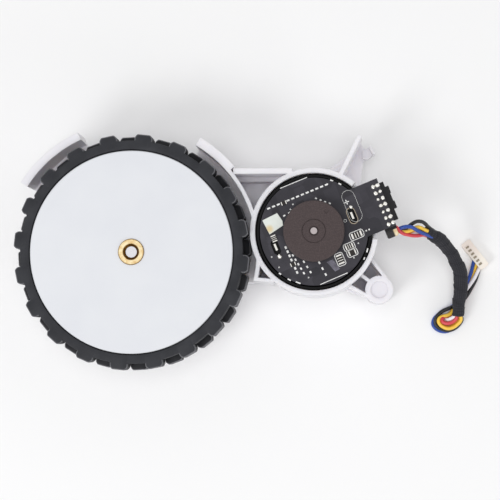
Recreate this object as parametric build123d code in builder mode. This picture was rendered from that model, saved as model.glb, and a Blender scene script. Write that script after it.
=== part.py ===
from build123d import *
import math
import os

# Robot vacuum wheel module, in millimetres.
# It lies on its gearbox side, with the wheel face up (+Z). The origin is on the
# axis of the pivot bore, at the level of the rear cover's flat face.

# Plan positions of the two large axes
wheel_at = Vector(-74.0, 10.8)
motor_at = Vector(-19.6, 17.0)
# Direction in which the control board's tab points, seen from above
tab_angle = 22.5

# Gear train, from the motor to the wheel
pinion_teeth = 12
wheel_teeth = 30
output_teeth = 32
module_1 = 0.6
module_2 = 0.7
module_3 = 0.7
module_4 = 0.8
pressure_angle = math.radians(25.0)
tooth_thinning = 0.06
tooth_addendum = 0.95
tooth_dedendum = 1.25
gear_room = 0.8
first_lean = 28.0
last_lean = 24.0

# Heights of the gear layers above the cover
layer_a_z = 2.9
layer_b_z = 6.0
layer_c_z = 9.2
face_width = 2.7
gear_end_play = 0.25

# Case
wall = 1.6
cover_thickness = 2.0
motor_floor_z = 11.0
motor_floor_thickness = 1.5
well_floor_z = 15.0
well_floor_thickness = 2.0
rim_rise = 0.2
well_disc_radius = 33.0
arch_clearance = 2.0
arch_wall = 1.2
arch_end_wall = 2.7
arch_start_angle = -12.5
arch_thick_angle = 40.0
arch_end_angle = 59.5
fender_wall = 2.4
fender_start_angle = 114.7
fender_end_angle = 148.0
gearbox_end_radius = 20.0
beam_top_y = 36.0
beam_wall = 1.7
ledge_width = 1.4
ledge_z = 18.0
rib_wall = 1.0

# Motor
motor_radius = 16.0
motor_height = 16.2
motor_shell = 1.0
motor_plate = 1.2
end_cap_height = 1.3
band_thickness = 1.45
motor_gap = 0.05
motor_shaft_radius = 1.0
tub_wall = 1.5
tab_gap_start = -6.7
tab_gap_end = 50.3
tab_gap_drop = 4.2
stub_end_angle = 0.0
stub_drop = 1.6

# Control board
board_thickness = 1.2
board_gap = 0.1
board_radius = 16.1
tab_reach = 23.3
tab_width = 15.1
slot_length = 4.6
slot_width = 2.2
terminal_reach = 12.3
magnet_radius = 9.1
magnet_thickness = 2.5
magnet_hub_radius = 3.35
magnet_gap = 0.6
joint_radius = 0.58
joint_tip_radius = 0.26
joint_height = 0.55
joint_columns = 7
joint_pitch = 2.0
joint_row_pitch = 1.45
joint_edge = 0.6
joint_shift = -0.5
chip_height = 0.5

# Connector under the tab, and the small plug in its side
header_gap = 0.6
header_depth = 5.0
header_width = 12.0
header_height = 3.4
header_lip = 0.55
header_lip_reach = 2.4
header_lip_depth = 3.6
board_plug_length = 4.4
board_plug_depth = 3.4
board_plug_height = 2.7
board_plug_rise = 0.1

# Wheel
tyre_radius = 35.3
lug_height = 2.0
tyre_wall = 2.7
tyre_width = 17.0
tyre_gap = 0.5
lug_count = 20
lug_base_angle = 9.4
lug_shoulder_angle = 8.8
lug_tip_angle = 6.0
lug_corner = 0.9
near_row_angle = 12.0
far_row_angle = 3.0
hub_rim_wall = 2.4
hub_web = 1.6
hub_boss_radius = 6.5
hub_ribs = 6
disc_gap = 0.3
disc_thickness = 1.0
insert_radius = 3.85
insert_depth = 8.0
shaft_radius = 2.5
shaft_nose_radius = 1.67
seat_gap = 0.05

# Bearings, pins and fits
running_gap = 0.05
bush_wall = 1.5
bearing_boss_radius = 5.8
bearing_top_z = 17.4
pin_radius = 1.0
pin_socket = 1.1
washer_thickness = 0.4

# Pivot boss and spring arm
boss_height = 20.0
boss_radius = 4.25
pivot_bore_radius = 2.6
boss_recess = 0.6
boss_cap = 2.4
boss_plate = 3.0
arm_wall = 1.3
arm_floor_z = 10.0
arm_floor_thickness = 2.0
hook_height = 3.4
hook_lip_height = 6.0

# Screws
cover_screw_radius = 1.1
cover_screw_head = 2.2
cover_screw_length = 7.0
motor_screw_radius = 1.2
motor_screw_head = 2.2
motor_screw_spread = 8.0
thread_gap = 0.05
hole_gap = 0.2

# Harness
wire_diameter = 1.15
wire_straight = 1.4
sleeve_radius = 1.95
wire_push = 0.5
plug_at = Vector(30.0, 11.4)
plug_angle = -52.0
plug_length = 10.0
plug_depth = 3.2
plug_height = 3.5
plug_pitch = 1.3
plug_ways = 6
plug_stagger = 0.7
slot_depth = 0.7
slot_shift = -0.5

parts_folder = "parts"
os.makedirs(parts_folder, exist_ok=True)


def unit(angle):
    """Unit vector at an angle in degrees, in plan."""
    return Vector(math.cos(math.radians(angle)), math.sin(math.radians(angle)))


def heading(start, end):
    """Angle in degrees of the line from one plan point to another."""
    return math.degrees(math.atan2(end.Y - start.Y, end.X - start.X))


def meeting_point(start, end, start_reach, end_reach):
    """Point at the given distances from two plan points, to the right of the line between them."""
    span = (end - start).length
    along = (start_reach**2 - end_reach**2 + span**2) / (2 * span)
    aside = math.sqrt(start_reach**2 - along**2)
    return start + unit(heading(start, end)) * along + unit(heading(start, end) + 90) * aside


def at(point, z, turn=0.0):
    """Plane parallel to the table at a plan point and height, turned about its normal."""
    return Plane(origin=(point.X, point.Y, z), x_dir=(unit(turn).X, unit(turn).Y, 0), z_dir=(0, 0, 1))


def save(part, label):
    """Label a finished piece and write its file."""
    part.label = label
    export_step(part, f"{parts_folder}/{label}.step")


def gear_points(module, teeth, first_tooth):
    """Outline of a spur gear about its own centre, with straight flanks on the involute."""
    pitch_radius = module * teeth / 2
    base_radius = pitch_radius * math.cos(pressure_angle)
    root_radius = pitch_radius - tooth_dedendum * module
    tip_radius = pitch_radius + tooth_addendum * module
    half_tooth = math.pi / (2 * teeth) - tooth_thinning / pitch_radius

    def half_angle(radius):
        involute = math.acos(min(1.0, base_radius / radius))
        return half_tooth + involute_of(pressure_angle) - involute_of(involute)

    flank = [(root_radius, half_angle(max(root_radius, base_radius)))]
    if base_radius > root_radius:
        flank.append((base_radius, half_angle(base_radius)))
    flank.append((tip_radius, half_angle(tip_radius)))
    points = []
    for tooth in range(teeth):
        middle = math.radians(first_tooth + tooth * 360 / teeth)
        for radius, half in flank:
            points.append((radius * math.cos(middle - half), radius * math.sin(middle - half)))
        for radius, half in reversed(flank):
            points.append((radius * math.cos(middle + half), radius * math.sin(middle + half)))
    return points


def involute_of(angle):
    """The involute function."""
    return math.tan(angle) - angle


def gear_reach(module, teeth):
    """Outer radius of a gear."""
    return module * teeth / 2 + tooth_addendum * module


# Centres of the gear train: it zigzags from the motor to the wheel
reach_1 = module_1 * (pinion_teeth + wheel_teeth) / 2
reach_2 = module_2 * (pinion_teeth + wheel_teeth) / 2
reach_3 = module_3 * (pinion_teeth + wheel_teeth) / 2
reach_4 = module_4 * (pinion_teeth + output_teeth) / 2
train_heading = heading(motor_at, wheel_at)
gear_1_at = motor_at + unit(train_heading - first_lean) * reach_1
gear_3_at = wheel_at + unit(train_heading + 180 + last_lean) * reach_4
gear_2_at = meeting_point(gear_1_at, gear_3_at, reach_2, reach_3)

# Levels that follow from the sizes above
motor_ceiling_z = motor_floor_z - motor_floor_thickness
well_ceiling_z = well_floor_z - well_floor_thickness
motor_top_z = motor_floor_z + motor_height
cap_top_z = motor_top_z + end_cap_height
board_z = cap_top_z + board_gap
board_top_z = board_z + board_thickness
magnet_z = board_top_z + magnet_gap
rim_z = board_top_z + rim_rise
tab_gap_z = board_z - tab_gap_drop
stub_z = board_z - stub_drop
tub_inner_radius = motor_radius + band_thickness + 3 * motor_gap
tub_outer_radius = tub_inner_radius + tub_wall
tyre_base_radius = tyre_radius - lug_height
tyre_inner_radius = tyre_base_radius - tyre_wall
disc_radius = tyre_inner_radius - disc_gap
arch_inner_radius = tyre_radius + arch_clearance
arch_outer_radius = arch_inner_radius + arch_wall
arch_end_radius = arch_inner_radius + arch_end_wall
fender_inner_radius = arch_inner_radius
fender_outer_radius = fender_inner_radius + fender_wall
tyre_z = well_floor_z + tyre_gap
tyre_top_z = tyre_z + tyre_width
tyre_middle_z = tyre_z + tyre_width / 2
disc_top_z = tyre_top_z - 0.1
disc_z = disc_top_z - disc_thickness
web_top_z = disc_z - seat_gap
bush_outer_radius = shaft_radius + running_gap + bush_wall
washer_z = bearing_top_z + gear_end_play
hub_boss_z = washer_z + washer_thickness + seat_gap

# Outline of the gearbox between the wheel end and the motor end
case_outline = [
    (-72.0, 30.6),
    (-58.5, 33.6),
    (-43.5, beam_top_y),
    (motor_at.X, beam_top_y),
    (motor_at.X, motor_at.Y),
    (-32.3, 1.9),
    (-37.4, 2.4),
    (-44.5, 1.9),
    (-60.0, -2.0),
    (-70.0, -8.6),
]

# Cover screws, outside the gear cavity
cover_screws_at = [
    wheel_at + unit(125) * 17.3,
    wheel_at + unit(200) * 17.3,
    wheel_at + unit(275) * 17.3,
    Vector(-40.6, 32.6),
    Vector(-36.2, 4.9),
    motor_at + unit(-60) * 14.8,
    motor_at + unit(40) * 14.8,
]
motor_screws_at = [
    motor_at + unit(train_heading + 90) * motor_screw_spread,
    motor_at + unit(train_heading - 90) * motor_screw_spread,
]

# Room for the gears: a low part near the motor and a tall part behind the wheel
low_room = [
    (gear_2_at, gear_reach(module_2, wheel_teeth) + gear_room),
    (gear_1_at, gear_reach(module_1, wheel_teeth) + gear_room),
    (motor_at, motor_screw_spread + motor_screw_head + gear_room),
]
tall_room = [
    (wheel_at, gear_reach(module_4, output_teeth) + gear_room),
    (gear_3_at, gear_reach(module_3, wheel_teeth) + gear_room),
    (gear_2_at, gear_reach(module_3, pinion_teeth) + gear_room),
]


def ring_sector(radius_in, radius_out, start, end):
    """Ring sector about the running location, in the running sketch."""
    middle = (start + end) / 2
    half_span = (end - start) / 2
    far = radius_out / math.cos(math.radians(half_span)) * 1.2
    with Locations(Location((0, 0, 0), (0, 0, middle))):
        Polygon(
            (0, 0),
            (far * math.cos(math.radians(half_span)), -far * math.sin(math.radians(half_span))),
            (far * math.cos(math.radians(half_span)), far * math.sin(math.radians(half_span))),
            align=None,
        )
    Circle(radius_out, mode=Mode.INTERSECT)
    Circle(radius_in, mode=Mode.SUBTRACT)


def case_footprint():
    """Outline of the gearbox, in the running sketch."""
    with Locations((wheel_at.X, wheel_at.Y)):
        Circle(gearbox_end_radius)
    Polygon(*case_outline, align=None)
    with Locations((motor_at.X, motor_at.Y)):
        Circle(tub_outer_radius)


def thick_line(start, end, width):
    """Straight wall of the given width, in the running sketch."""
    side = unit(heading(start, end) + 90) * (width / 2)
    corners = [start + side, end + side, end - side, start - side]
    Polygon(*[(corner.X, corner.Y) for corner in corners], align=None)


# Main housing: one moulding with the gearbox shell, wheel well, motor tub, arm and pivot boss
with BuildPart() as main_housing:
    with BuildSketch(Plane.XY.offset(cover_thickness)):
        case_footprint()
    extrude(amount=motor_floor_z - cover_thickness)
    # Taller gearbox behind the wheel
    with BuildSketch(Plane.XY.offset(motor_floor_z)):
        with Locations((wheel_at.X, wheel_at.Y)):
            Circle(gearbox_end_radius)
        Polygon(*case_outline, align=None)
        with Locations((wheel_at.X, wheel_at.Y)):
            Circle(arch_outer_radius, mode=Mode.INTERSECT)
    extrude(amount=well_floor_z - motor_floor_z)
    # Wheel well floor
    with BuildSketch(at(wheel_at, well_ceiling_z)):
        Circle(well_disc_radius)
    extrude(amount=well_floor_thickness)
    with BuildSketch(at(wheel_at, well_ceiling_z)):
        ring_sector(well_disc_radius - wall, arch_outer_radius, arch_start_angle, arch_end_angle)
    extrude(amount=well_floor_thickness)
    with BuildSketch(at(wheel_at, well_ceiling_z)):
        ring_sector(well_disc_radius - wall, fender_outer_radius, fender_start_angle, fender_end_angle)
    extrude(amount=well_floor_thickness)
    # Fender at the outer end
    with BuildSketch(at(wheel_at, well_ceiling_z)):
        ring_sector(fender_inner_radius, fender_outer_radius, fender_start_angle, fender_end_angle)
    extrude(amount=rim_z - well_ceiling_z)
    # Arch beside the motor: thin along the pockets, thick at its free end
    with BuildSketch(at(wheel_at, motor_ceiling_z)):
        ring_sector(arch_inner_radius, arch_outer_radius, arch_start_angle, arch_end_angle)
    extrude(amount=rim_z - motor_ceiling_z)
    with BuildSketch(at(wheel_at, well_ceiling_z)):
        ring_sector(arch_inner_radius, arch_end_radius, arch_thick_angle, arch_end_angle)
    extrude(amount=rim_z - well_ceiling_z)
    # Motor tub
    with BuildSketch(at(motor_at, motor_floor_z)):
        Circle(tub_outer_radius)
    extrude(amount=rim_z - motor_floor_z)
    # Beam from the arch to the tub, with a ledge inside, and the short rib below
    with BuildSketch(Plane.XY.offset(motor_ceiling_z)):
        Polygon(
            (-43.7, beam_top_y - beam_wall),
            (-26.0, beam_top_y - beam_wall),
            (-26.0, beam_top_y),
            (-43.7, beam_top_y),
            align=None,
        )
        thick_line(Vector(-37.6, 2.9), Vector(-31.6, 2.3), rib_wall)
    extrude(amount=rim_z - motor_ceiling_z)
    with BuildSketch(Plane.XY.offset(motor_ceiling_z)):
        Polygon(
            (-42.6, beam_top_y - beam_wall - ledge_width),
            (-29.0, beam_top_y - beam_wall - ledge_width),
            (-27.0, beam_top_y - beam_wall),
            (-43.6, beam_top_y - beam_wall),
            align=None,
        )
    extrude(amount=ledge_z - motor_ceiling_z)
    # Pivot boss with its base and three ribs
    with BuildSketch(Plane.XY):
        Circle(boss_radius)
    extrude(amount=boss_height)
    with BuildSketch(Plane.XY.offset(cover_thickness)):
        Polygon(
            (-4.5, 15.0),
            (1.8, 4.4),
            (-3.2, -2.2),
            (-13.0, 1.0),
            align=None,
        )
    extrude(amount=boss_plate)
    with BuildSketch(Plane.XY.offset(cover_thickness)):
        thick_line(Vector(-3.4, 10.6), Vector(2.2, 3.2), rib_wall)
        thick_line(Vector(-6.8, 5.4), Vector(-2.4, 2.2), rib_wall)
        thick_line(Vector(-11.6, 2.7), Vector(-2.9, -2.3), rib_wall)
    extrude(amount=boss_height - cover_thickness)
    # Spring arm: upright wall, floor and hook
    with BuildSketch(Plane.XY.offset(arm_floor_z - arm_floor_thickness)):
        thick_line(Vector(-11.9, 33.6), Vector(-5.8, 45.9), arm_wall)
    extrude(amount=rim_z - arm_floor_z + arm_floor_thickness)
    with BuildSketch(Plane.XY.offset(arm_floor_z - arm_floor_thickness)):
        Polygon(
            (-15.9, 34.6),
            (-14.6, 38.0),
            (-9.0, 42.2),
            (-5.8, 45.9),
            (-4.1, 43.4),
            (-5.6, 32.0),
            (-8.0, 29.0),
            align=None,
        )
    extrude(amount=arm_floor_thickness)
    with BuildSketch(Plane.XY.offset(arm_floor_z - arm_floor_thickness)):
        Polygon(
            (-5.0, 43.0),
            (-4.4, 43.3),
            (-2.3, 44.4),
            (-1.0, 41.9),
            (-3.8, 40.1),
            (-5.0, 40.4),
            align=None,
        )
    extrude(amount=hook_height)
    with BuildSketch(Plane.XY.offset(arm_floor_z - arm_floor_thickness)):
        Polygon(
            (-3.1, 43.9),
            (-2.3, 44.4),
            (-1.0, 41.9),
            (-1.8, 41.4),
            align=None,
        )
    extrude(amount=hook_lip_height)
    # Bearing boss of the output shaft
    with BuildSketch(at(wheel_at, layer_c_z)):
        Circle(bearing_boss_radius)
    extrude(amount=bearing_top_z - layer_c_z)
    # Hollow for the motor, and the opening for the board's tab
    with BuildSketch(at(motor_at, motor_floor_z)):
        Circle(tub_inner_radius)
    extrude(amount=rim_z - motor_floor_z, mode=Mode.SUBTRACT)
    with BuildSketch(at(motor_at, tab_gap_z)):
        ring_sector(tub_inner_radius - wall, tub_outer_radius + wall, stub_end_angle, tab_gap_end)
    extrude(amount=rim_z - tab_gap_z, mode=Mode.SUBTRACT)
    with BuildSketch(at(motor_at, stub_z)):
        ring_sector(tub_inner_radius - wall, tub_outer_radius + wall, tab_gap_start, tab_gap_end)
    extrude(amount=rim_z - stub_z, mode=Mode.SUBTRACT)
    # Gear cavity
    with BuildSketch(Plane.XY.offset(cover_thickness)):
        for (first, first_radius), (second, second_radius) in zip(low_room, low_room[1:]):
            with BuildSketch(mode=Mode.PRIVATE) as pair:
                with Locations((first.X, first.Y)):
                    Circle(first_radius)
                with Locations((second.X, second.Y)):
                    Circle(second_radius)
            make_hull(pair.sketch.edges())
    extrude(amount=motor_ceiling_z - cover_thickness, mode=Mode.SUBTRACT)
    with BuildSketch(Plane.XY.offset(cover_thickness)):
        for (first, first_radius), (second, second_radius) in zip(tall_room, tall_room[1:]):
            with BuildSketch(mode=Mode.PRIVATE) as pair:
                with Locations((first.X, first.Y)):
                    Circle(first_radius)
                with Locations((second.X, second.Y)):
                    Circle(second_radius)
            make_hull(pair.sketch.edges())
        with Locations((wheel_at.X, wheel_at.Y)):
            Circle(bearing_boss_radius, mode=Mode.SUBTRACT)
    extrude(amount=well_ceiling_z - cover_thickness, mode=Mode.SUBTRACT)
    with BuildSketch(at(wheel_at, cover_thickness)):
        Circle(bearing_boss_radius + wall)
    extrude(amount=layer_c_z - cover_thickness, mode=Mode.SUBTRACT)
    # Bores: output bearing, motor shaft, gear pins, motor screws, cover screws, pivot
    with BuildSketch(at(wheel_at, cover_thickness)):
        Circle(bush_outer_radius + seat_gap)
    extrude(amount=bearing_top_z - cover_thickness, mode=Mode.SUBTRACT)
    with BuildSketch(at(motor_at, cover_thickness)):
        Circle(motor_shaft_radius + 2 * hole_gap)
    extrude(amount=motor_floor_z - cover_thickness, mode=Mode.SUBTRACT)
    with BuildSketch(at(gear_1_at, motor_ceiling_z)):
        Circle(pin_radius + seat_gap)
    extrude(amount=pin_socket, mode=Mode.SUBTRACT)
    for gear_at in (gear_2_at, gear_3_at):
        with BuildSketch(at(gear_at, well_ceiling_z)):
            Circle(pin_radius + seat_gap)
        extrude(amount=pin_socket, mode=Mode.SUBTRACT)
    for screw_at in motor_screws_at:
        with BuildSketch(at(screw_at, motor_ceiling_z)):
            Circle(motor_screw_radius + hole_gap)
        extrude(amount=motor_floor_thickness, mode=Mode.SUBTRACT)
    for screw_at in cover_screws_at:
        with BuildSketch(at(screw_at, cover_thickness)):
            Circle(cover_screw_radius + thread_gap)
        extrude(amount=cover_screw_length - cover_thickness + wall, mode=Mode.SUBTRACT)
    with BuildSketch(Plane.XY):
        Circle(pivot_bore_radius)
    extrude(amount=boss_height - boss_cap - boss_recess, mode=Mode.SUBTRACT)
    # Shallow recess in the boss's closed top
    with BuildSketch(Plane.XY.offset(boss_height - boss_recess)):
        Circle(pivot_bore_radius)
    extrude(amount=boss_recess, mode=Mode.SUBTRACT)
save(main_housing.part, "main_housing")

# Rear cover: flat plate over the gearbox with bosses for the pins and the shaft
cover_boss = gear_end_play + 0.15
with BuildPart() as rear_cover:
    with BuildSketch(Plane.XY):
        case_footprint()
        with Locations((0, 0)):
            Circle(boss_radius + wall, mode=Mode.SUBTRACT)
    extrude(amount=cover_thickness)
    with BuildSketch(at(wheel_at, cover_thickness)):
        Circle(bush_outer_radius + wall)
    extrude(amount=layer_a_z - cover_thickness - gear_end_play)
    for gear_at in (gear_1_at, gear_2_at, gear_3_at):
        with BuildSketch(at(gear_at, cover_thickness)):
            Circle(pin_radius + wall)
        extrude(amount=cover_boss)
        with BuildSketch(at(gear_at, cover_thickness - pin_socket)):
            Circle(pin_radius + seat_gap)
        extrude(amount=pin_socket + cover_boss, mode=Mode.SUBTRACT)
    with BuildSketch(at(wheel_at, cover_thickness - pin_socket)):
        Circle(bush_outer_radius + seat_gap)
    extrude(amount=pin_socket + layer_a_z, mode=Mode.SUBTRACT)
    for screw_at in cover_screws_at:
        with BuildSketch(at(screw_at, 0)):
            Circle(cover_screw_head + hole_gap)
        with BuildSketch(at(screw_at, cover_screw_head - cover_screw_radius + hole_gap)):
            Circle(cover_screw_radius + hole_gap)
        loft(mode=Mode.SUBTRACT)
        with BuildSketch(at(screw_at, 0)):
            Circle(cover_screw_radius + hole_gap)
        extrude(amount=cover_thickness, mode=Mode.SUBTRACT)
save(rear_cover.part, "rear_cover")

# Countersunk cover screws
with BuildPart() as cover_screws:
    for screw_at in cover_screws_at:
        with BuildSketch(at(screw_at, hole_gap)):
            Circle(cover_screw_head)
        with BuildSketch(at(screw_at, hole_gap + cover_screw_head - cover_screw_radius)):
            Circle(cover_screw_radius)
        loft()
        with BuildSketch(at(screw_at, hole_gap)):
            Circle(cover_screw_radius)
        extrude(amount=cover_screw_length)
save(cover_screws.part, "cover_screws")

# Motor: drawn steel can with a plate at its foot
shaft_hole = motor_shaft_radius + 2 * hole_gap
with BuildPart() as motor_can:
    with BuildSketch(at(motor_at, motor_floor_z)):
        Circle(motor_radius)
    extrude(amount=motor_height)
    with BuildSketch(at(motor_at, motor_floor_z + motor_plate)):
        Circle(motor_radius - motor_shell)
    extrude(amount=motor_height - motor_plate, mode=Mode.SUBTRACT)
    with BuildSketch(at(motor_at, motor_floor_z)):
        Circle(shaft_hole)
    extrude(amount=motor_plate, mode=Mode.SUBTRACT)
    for screw_at in motor_screws_at:
        with BuildSketch(at(screw_at, motor_floor_z)):
            Circle(motor_screw_radius + thread_gap)
        extrude(amount=motor_plate, mode=Mode.SUBTRACT)
save(motor_can.part, "motor_can")

# Two field magnets inside the can
magnet_outer = motor_radius - motor_shell - motor_gap
magnet_inner = magnet_outer - 3.0
with BuildPart() as field_magnets:
    for side in (0, 180):
        with BuildSketch(at(motor_at, motor_floor_z + motor_plate + motor_gap, turn=side)):
            ring_sector(magnet_inner, magnet_outer, -62, 62)
        extrude(amount=motor_height - motor_plate - 2.0)
save(field_magnets.part, "field_magnets")

# Slotted armature on the shaft
with BuildPart() as armature:
    with BuildSketch(at(motor_at, motor_floor_z + 3.2)):
        Circle(magnet_inner - 0.4)
        for spoke in range(3):
            with Locations(Location((0, 0, 0), (0, 0, 60 + spoke * 120))):
                with Locations((magnet_inner - 1.0, 0)):
                    Rectangle(7.0, 2.4, mode=Mode.SUBTRACT)
        Circle(motor_shaft_radius + 0.02, mode=Mode.SUBTRACT)
    extrude(amount=9.0)
save(armature.part, "armature")

# Black end cap of the motor, and the rubber band that holds the can in the tub
with BuildPart() as motor_end_cap:
    with BuildSketch(at(motor_at, motor_top_z)):
        Circle(motor_radius)
        Circle(shaft_hole, mode=Mode.SUBTRACT)
        for side in (0, 180):
            with Locations(Location((0, 0, 0), (0, 0, tab_angle + side))):
                with Locations((terminal_reach, 0)):
                    Rectangle(0.7, 2.2, mode=Mode.SUBTRACT)
    extrude(amount=end_cap_height)
save(motor_end_cap.part, "motor_end_cap")

with BuildPart() as motor_band:
    with BuildSketch(at(motor_at, motor_floor_z + 1.5)):
        Circle(motor_radius + motor_gap + band_thickness)
        Circle(motor_radius + motor_gap, mode=Mode.SUBTRACT)
    extrude(amount=cap_top_z - motor_floor_z - 1.9)
    fillet(motor_band.edges().group_by(Axis.Z)[-1], radius=0.5)
save(motor_band.part, "motor_band")

# Motor terminals: two upright blades through the board's slots
with BuildPart() as motor_terminals:
    for side in (0, 180):
        with BuildSketch(at(motor_at, motor_top_z - 1.0, turn=tab_angle + side)):
            with Locations((terminal_reach, 0)):
                Rectangle(0.6, 2.1)
        extrude(amount=board_top_z + 0.9 - motor_top_z + 1.0)
save(motor_terminals.part, "motor_terminals")

# Motor screws, driven from the gearbox side
with BuildPart() as motor_screws:
    for screw_at in motor_screws_at:
        with BuildSketch(at(screw_at, motor_ceiling_z - 1.3)):
            Circle(motor_screw_head)
        extrude(amount=1.3)
        with BuildSketch(at(screw_at, motor_ceiling_z)):
            Circle(motor_screw_radius)
        extrude(amount=motor_floor_thickness + motor_plate)
save(motor_screws.part, "motor_screws")

# Motor shaft, brass pinion and the encoder magnet
magnet_top_z = magnet_z + magnet_thickness
with BuildPart() as motor_shaft:
    with BuildSketch(at(motor_at, cover_thickness + gear_end_play)):
        Circle(motor_shaft_radius)
    extrude(amount=magnet_top_z + 0.6 - cover_thickness - gear_end_play)
save(motor_shaft.part, "motor_shaft")

with BuildPart() as motor_pinion:
    with BuildSketch(at(motor_at, layer_a_z)):
        Polygon(
            *gear_points(module_1, pinion_teeth, heading(motor_at, gear_1_at)),
            align=None,
        )
        Circle(motor_shaft_radius + 0.02, mode=Mode.SUBTRACT)
    extrude(amount=face_width)
save(motor_pinion.part, "motor_pinion")

with BuildPart() as encoder_magnet:
    with BuildSketch(at(motor_at, magnet_z)):
        Circle(magnet_radius)
    extrude(amount=magnet_thickness)
    fillet(encoder_magnet.edges().group_by(Axis.Z)[-1], radius=0.3)
    with BuildSketch(at(motor_at, magnet_top_z - 0.25)):
        Circle(magnet_hub_radius + 0.25)
        Circle(magnet_hub_radius, mode=Mode.SUBTRACT)
    extrude(amount=0.25, mode=Mode.SUBTRACT)
    with BuildSketch(at(motor_at, magnet_top_z - 0.2)):
        with Locations((3.75, 5.75)):
            Circle(0.6)
    extrude(amount=0.2, mode=Mode.SUBTRACT)
    with BuildSketch(at(motor_at, magnet_z)):
        Circle(motor_shaft_radius + 0.02)
    extrude(amount=magnet_thickness, mode=Mode.SUBTRACT)
save(encoder_magnet.part, "encoder_magnet")

# Control board: round with a tab, slots for the terminals and a hole for the shaft
with BuildPart() as control_board:
    with BuildSketch(at(motor_at, board_z, turn=tab_angle)):
        Circle(board_radius)
        with Locations((tab_reach / 2, 0)):
            Rectangle(tab_reach, tab_width)
        Circle(shaft_hole + 0.4, mode=Mode.SUBTRACT)
        for side in (-1, 1):
            with Locations(Location((side * terminal_reach, 0, 0), (0, 0, 90))):
                SlotOverall(slot_length, slot_width, mode=Mode.SUBTRACT)
    extrude(amount=board_thickness)
save(control_board.part, "control_board")

# Connector under the tab, with a lip over the plug in its side
header_inner = tub_outer_radius + header_gap
header_z = board_z - header_height - seat_gap
header_end = header_inner + header_depth
with BuildPart() as board_header:
    with BuildSketch(at(motor_at, header_z, turn=tab_angle)):
        with Locations((header_inner + header_depth / 2, 0)):
            Rectangle(header_depth, header_width)
        with Locations((header_end + 0.2, 0.8)):
            Rectangle(1.6, 7.0)
        with Locations((header_end + 1.2, 0.8)):
            Rectangle(1.0, 2.6, mode=Mode.SUBTRACT)
    extrude(amount=header_height)
    with BuildSketch(at(motor_at, header_z + header_height - header_lip, turn=tab_angle)):
        with Locations((header_inner + header_lip_depth / 2, -header_width / 2 - header_lip_reach / 2)):
            Rectangle(header_lip_depth, header_lip_reach)
    extrude(amount=header_lip)
save(board_header.part, "board_header")

board_plug_at = motor_at + unit(tab_angle) * (header_inner + board_plug_depth / 2)
board_plug_at = board_plug_at - unit(tab_angle + 90) * (header_width / 2 + seat_gap + board_plug_length / 2)
with BuildPart() as board_plug:
    with BuildSketch(at(board_plug_at, header_z + board_plug_rise, turn=tab_angle)):
        Rectangle(board_plug_depth, board_plug_length)
    extrude(amount=board_plug_height)
    chamfer(board_plug.edges().filter_by(Axis.Z), length=0.35)
save(board_plug.part, "board_plug")

# Solder joints in two rows along the tab's edge, and one at each terminal
joint_places = [
    (terminal_reach, slot_length / 2 + joint_radius),
    (-terminal_reach, -slot_length / 2 - joint_radius),
]
for row in range(2):
    for column in range(joint_columns):
        aside = (column - (joint_columns - 1) / 2) * joint_pitch + joint_shift
        joint_places.append((tab_reach - joint_edge - row * joint_row_pitch, aside))
with BuildPart() as solder_joints:
    for joint_place in joint_places:
        with BuildSketch(at(motor_at, board_top_z, turn=tab_angle)):
            with Locations(joint_place):
                RegularPolygon(joint_radius, 6)
        with BuildSketch(at(motor_at, board_top_z + joint_height, turn=tab_angle)):
            with Locations(joint_place):
                RegularPolygon(joint_tip_radius, 6)
        loft()
save(solder_joints.part, "solder_joints")

# Surface-mounted chips in plan: place, length, width and turn
chip_places = [
    (Vector(-6.9, 16.0), 3.2, 1.6, tab_angle),
    (Vector(-9.1, 12.5), 2.4, 1.4, tab_angle),
    (Vector(-8.2, 10.7), 2.2, 1.4, tab_angle),
    (Vector(-11.8, 8.7), 2.9, 1.7, tab_angle - 90),
    (Vector(-25.8, 7.2), 1.6, 1.0, tab_angle),
    (Vector(-28.6, 25.5), 1.6, 1.0, tab_angle),
]
with BuildPart() as board_chips:
    for place, chip_length, chip_width, turn in chip_places:
        with BuildSketch(at(place, board_top_z, turn=turn)):
            Rectangle(chip_length, chip_width)
        extrude(amount=chip_height)
save(board_chips.part, "board_chips")

# White adhesive pad with one cut corner
with BuildPart() as white_pad:
    with BuildSketch(Plane.XY.offset(board_top_z)):
        Polygon(
            (-35.0, 20.3),
            (-30.6, 22.5),
            (-29.0, 20.2),
            (-28.8, 18.8),
            (-32.8, 16.1),
            align=None,
        )
    extrude(amount=0.3)
save(white_pad.part, "white_pad")

# Gear pins, pressed into the housing and the cover
pin_foot_z = cover_thickness - pin_socket + seat_gap
gear_pin_places = [
    ("gear_pin_1", gear_1_at, motor_ceiling_z),
    ("gear_pin_2", gear_2_at, well_ceiling_z),
    ("gear_pin_3", gear_3_at, well_ceiling_z),
]
for pin_name, gear_at, ceiling_z in gear_pin_places:
    with BuildPart() as gear_pin:
        with BuildSketch(at(gear_at, pin_foot_z)):
            Circle(pin_radius)
        extrude(amount=ceiling_z + pin_socket - seat_gap - pin_foot_z)
    save(gear_pin.part, pin_name)


def build_compound_gear(name, centre, big, small, hub_radius, foot_z, head_z):
    """Compound gear: a big and a small toothed layer on one hub with a bore."""
    with BuildPart() as gear:
        for module, teeth, tooth_angle, low_z, height in (big, small):
            with BuildSketch(at(centre, low_z)):
                Polygon(*gear_points(module, teeth, tooth_angle), align=None)
            extrude(amount=height)
        with BuildSketch(at(centre, foot_z)):
            Circle(hub_radius)
        extrude(amount=head_z - foot_z)
        with BuildSketch(at(centre, foot_z)):
            Circle(pin_radius + running_gap)
        extrude(amount=head_z - foot_z, mode=Mode.SUBTRACT)
    save(gear.part, name)


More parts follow.
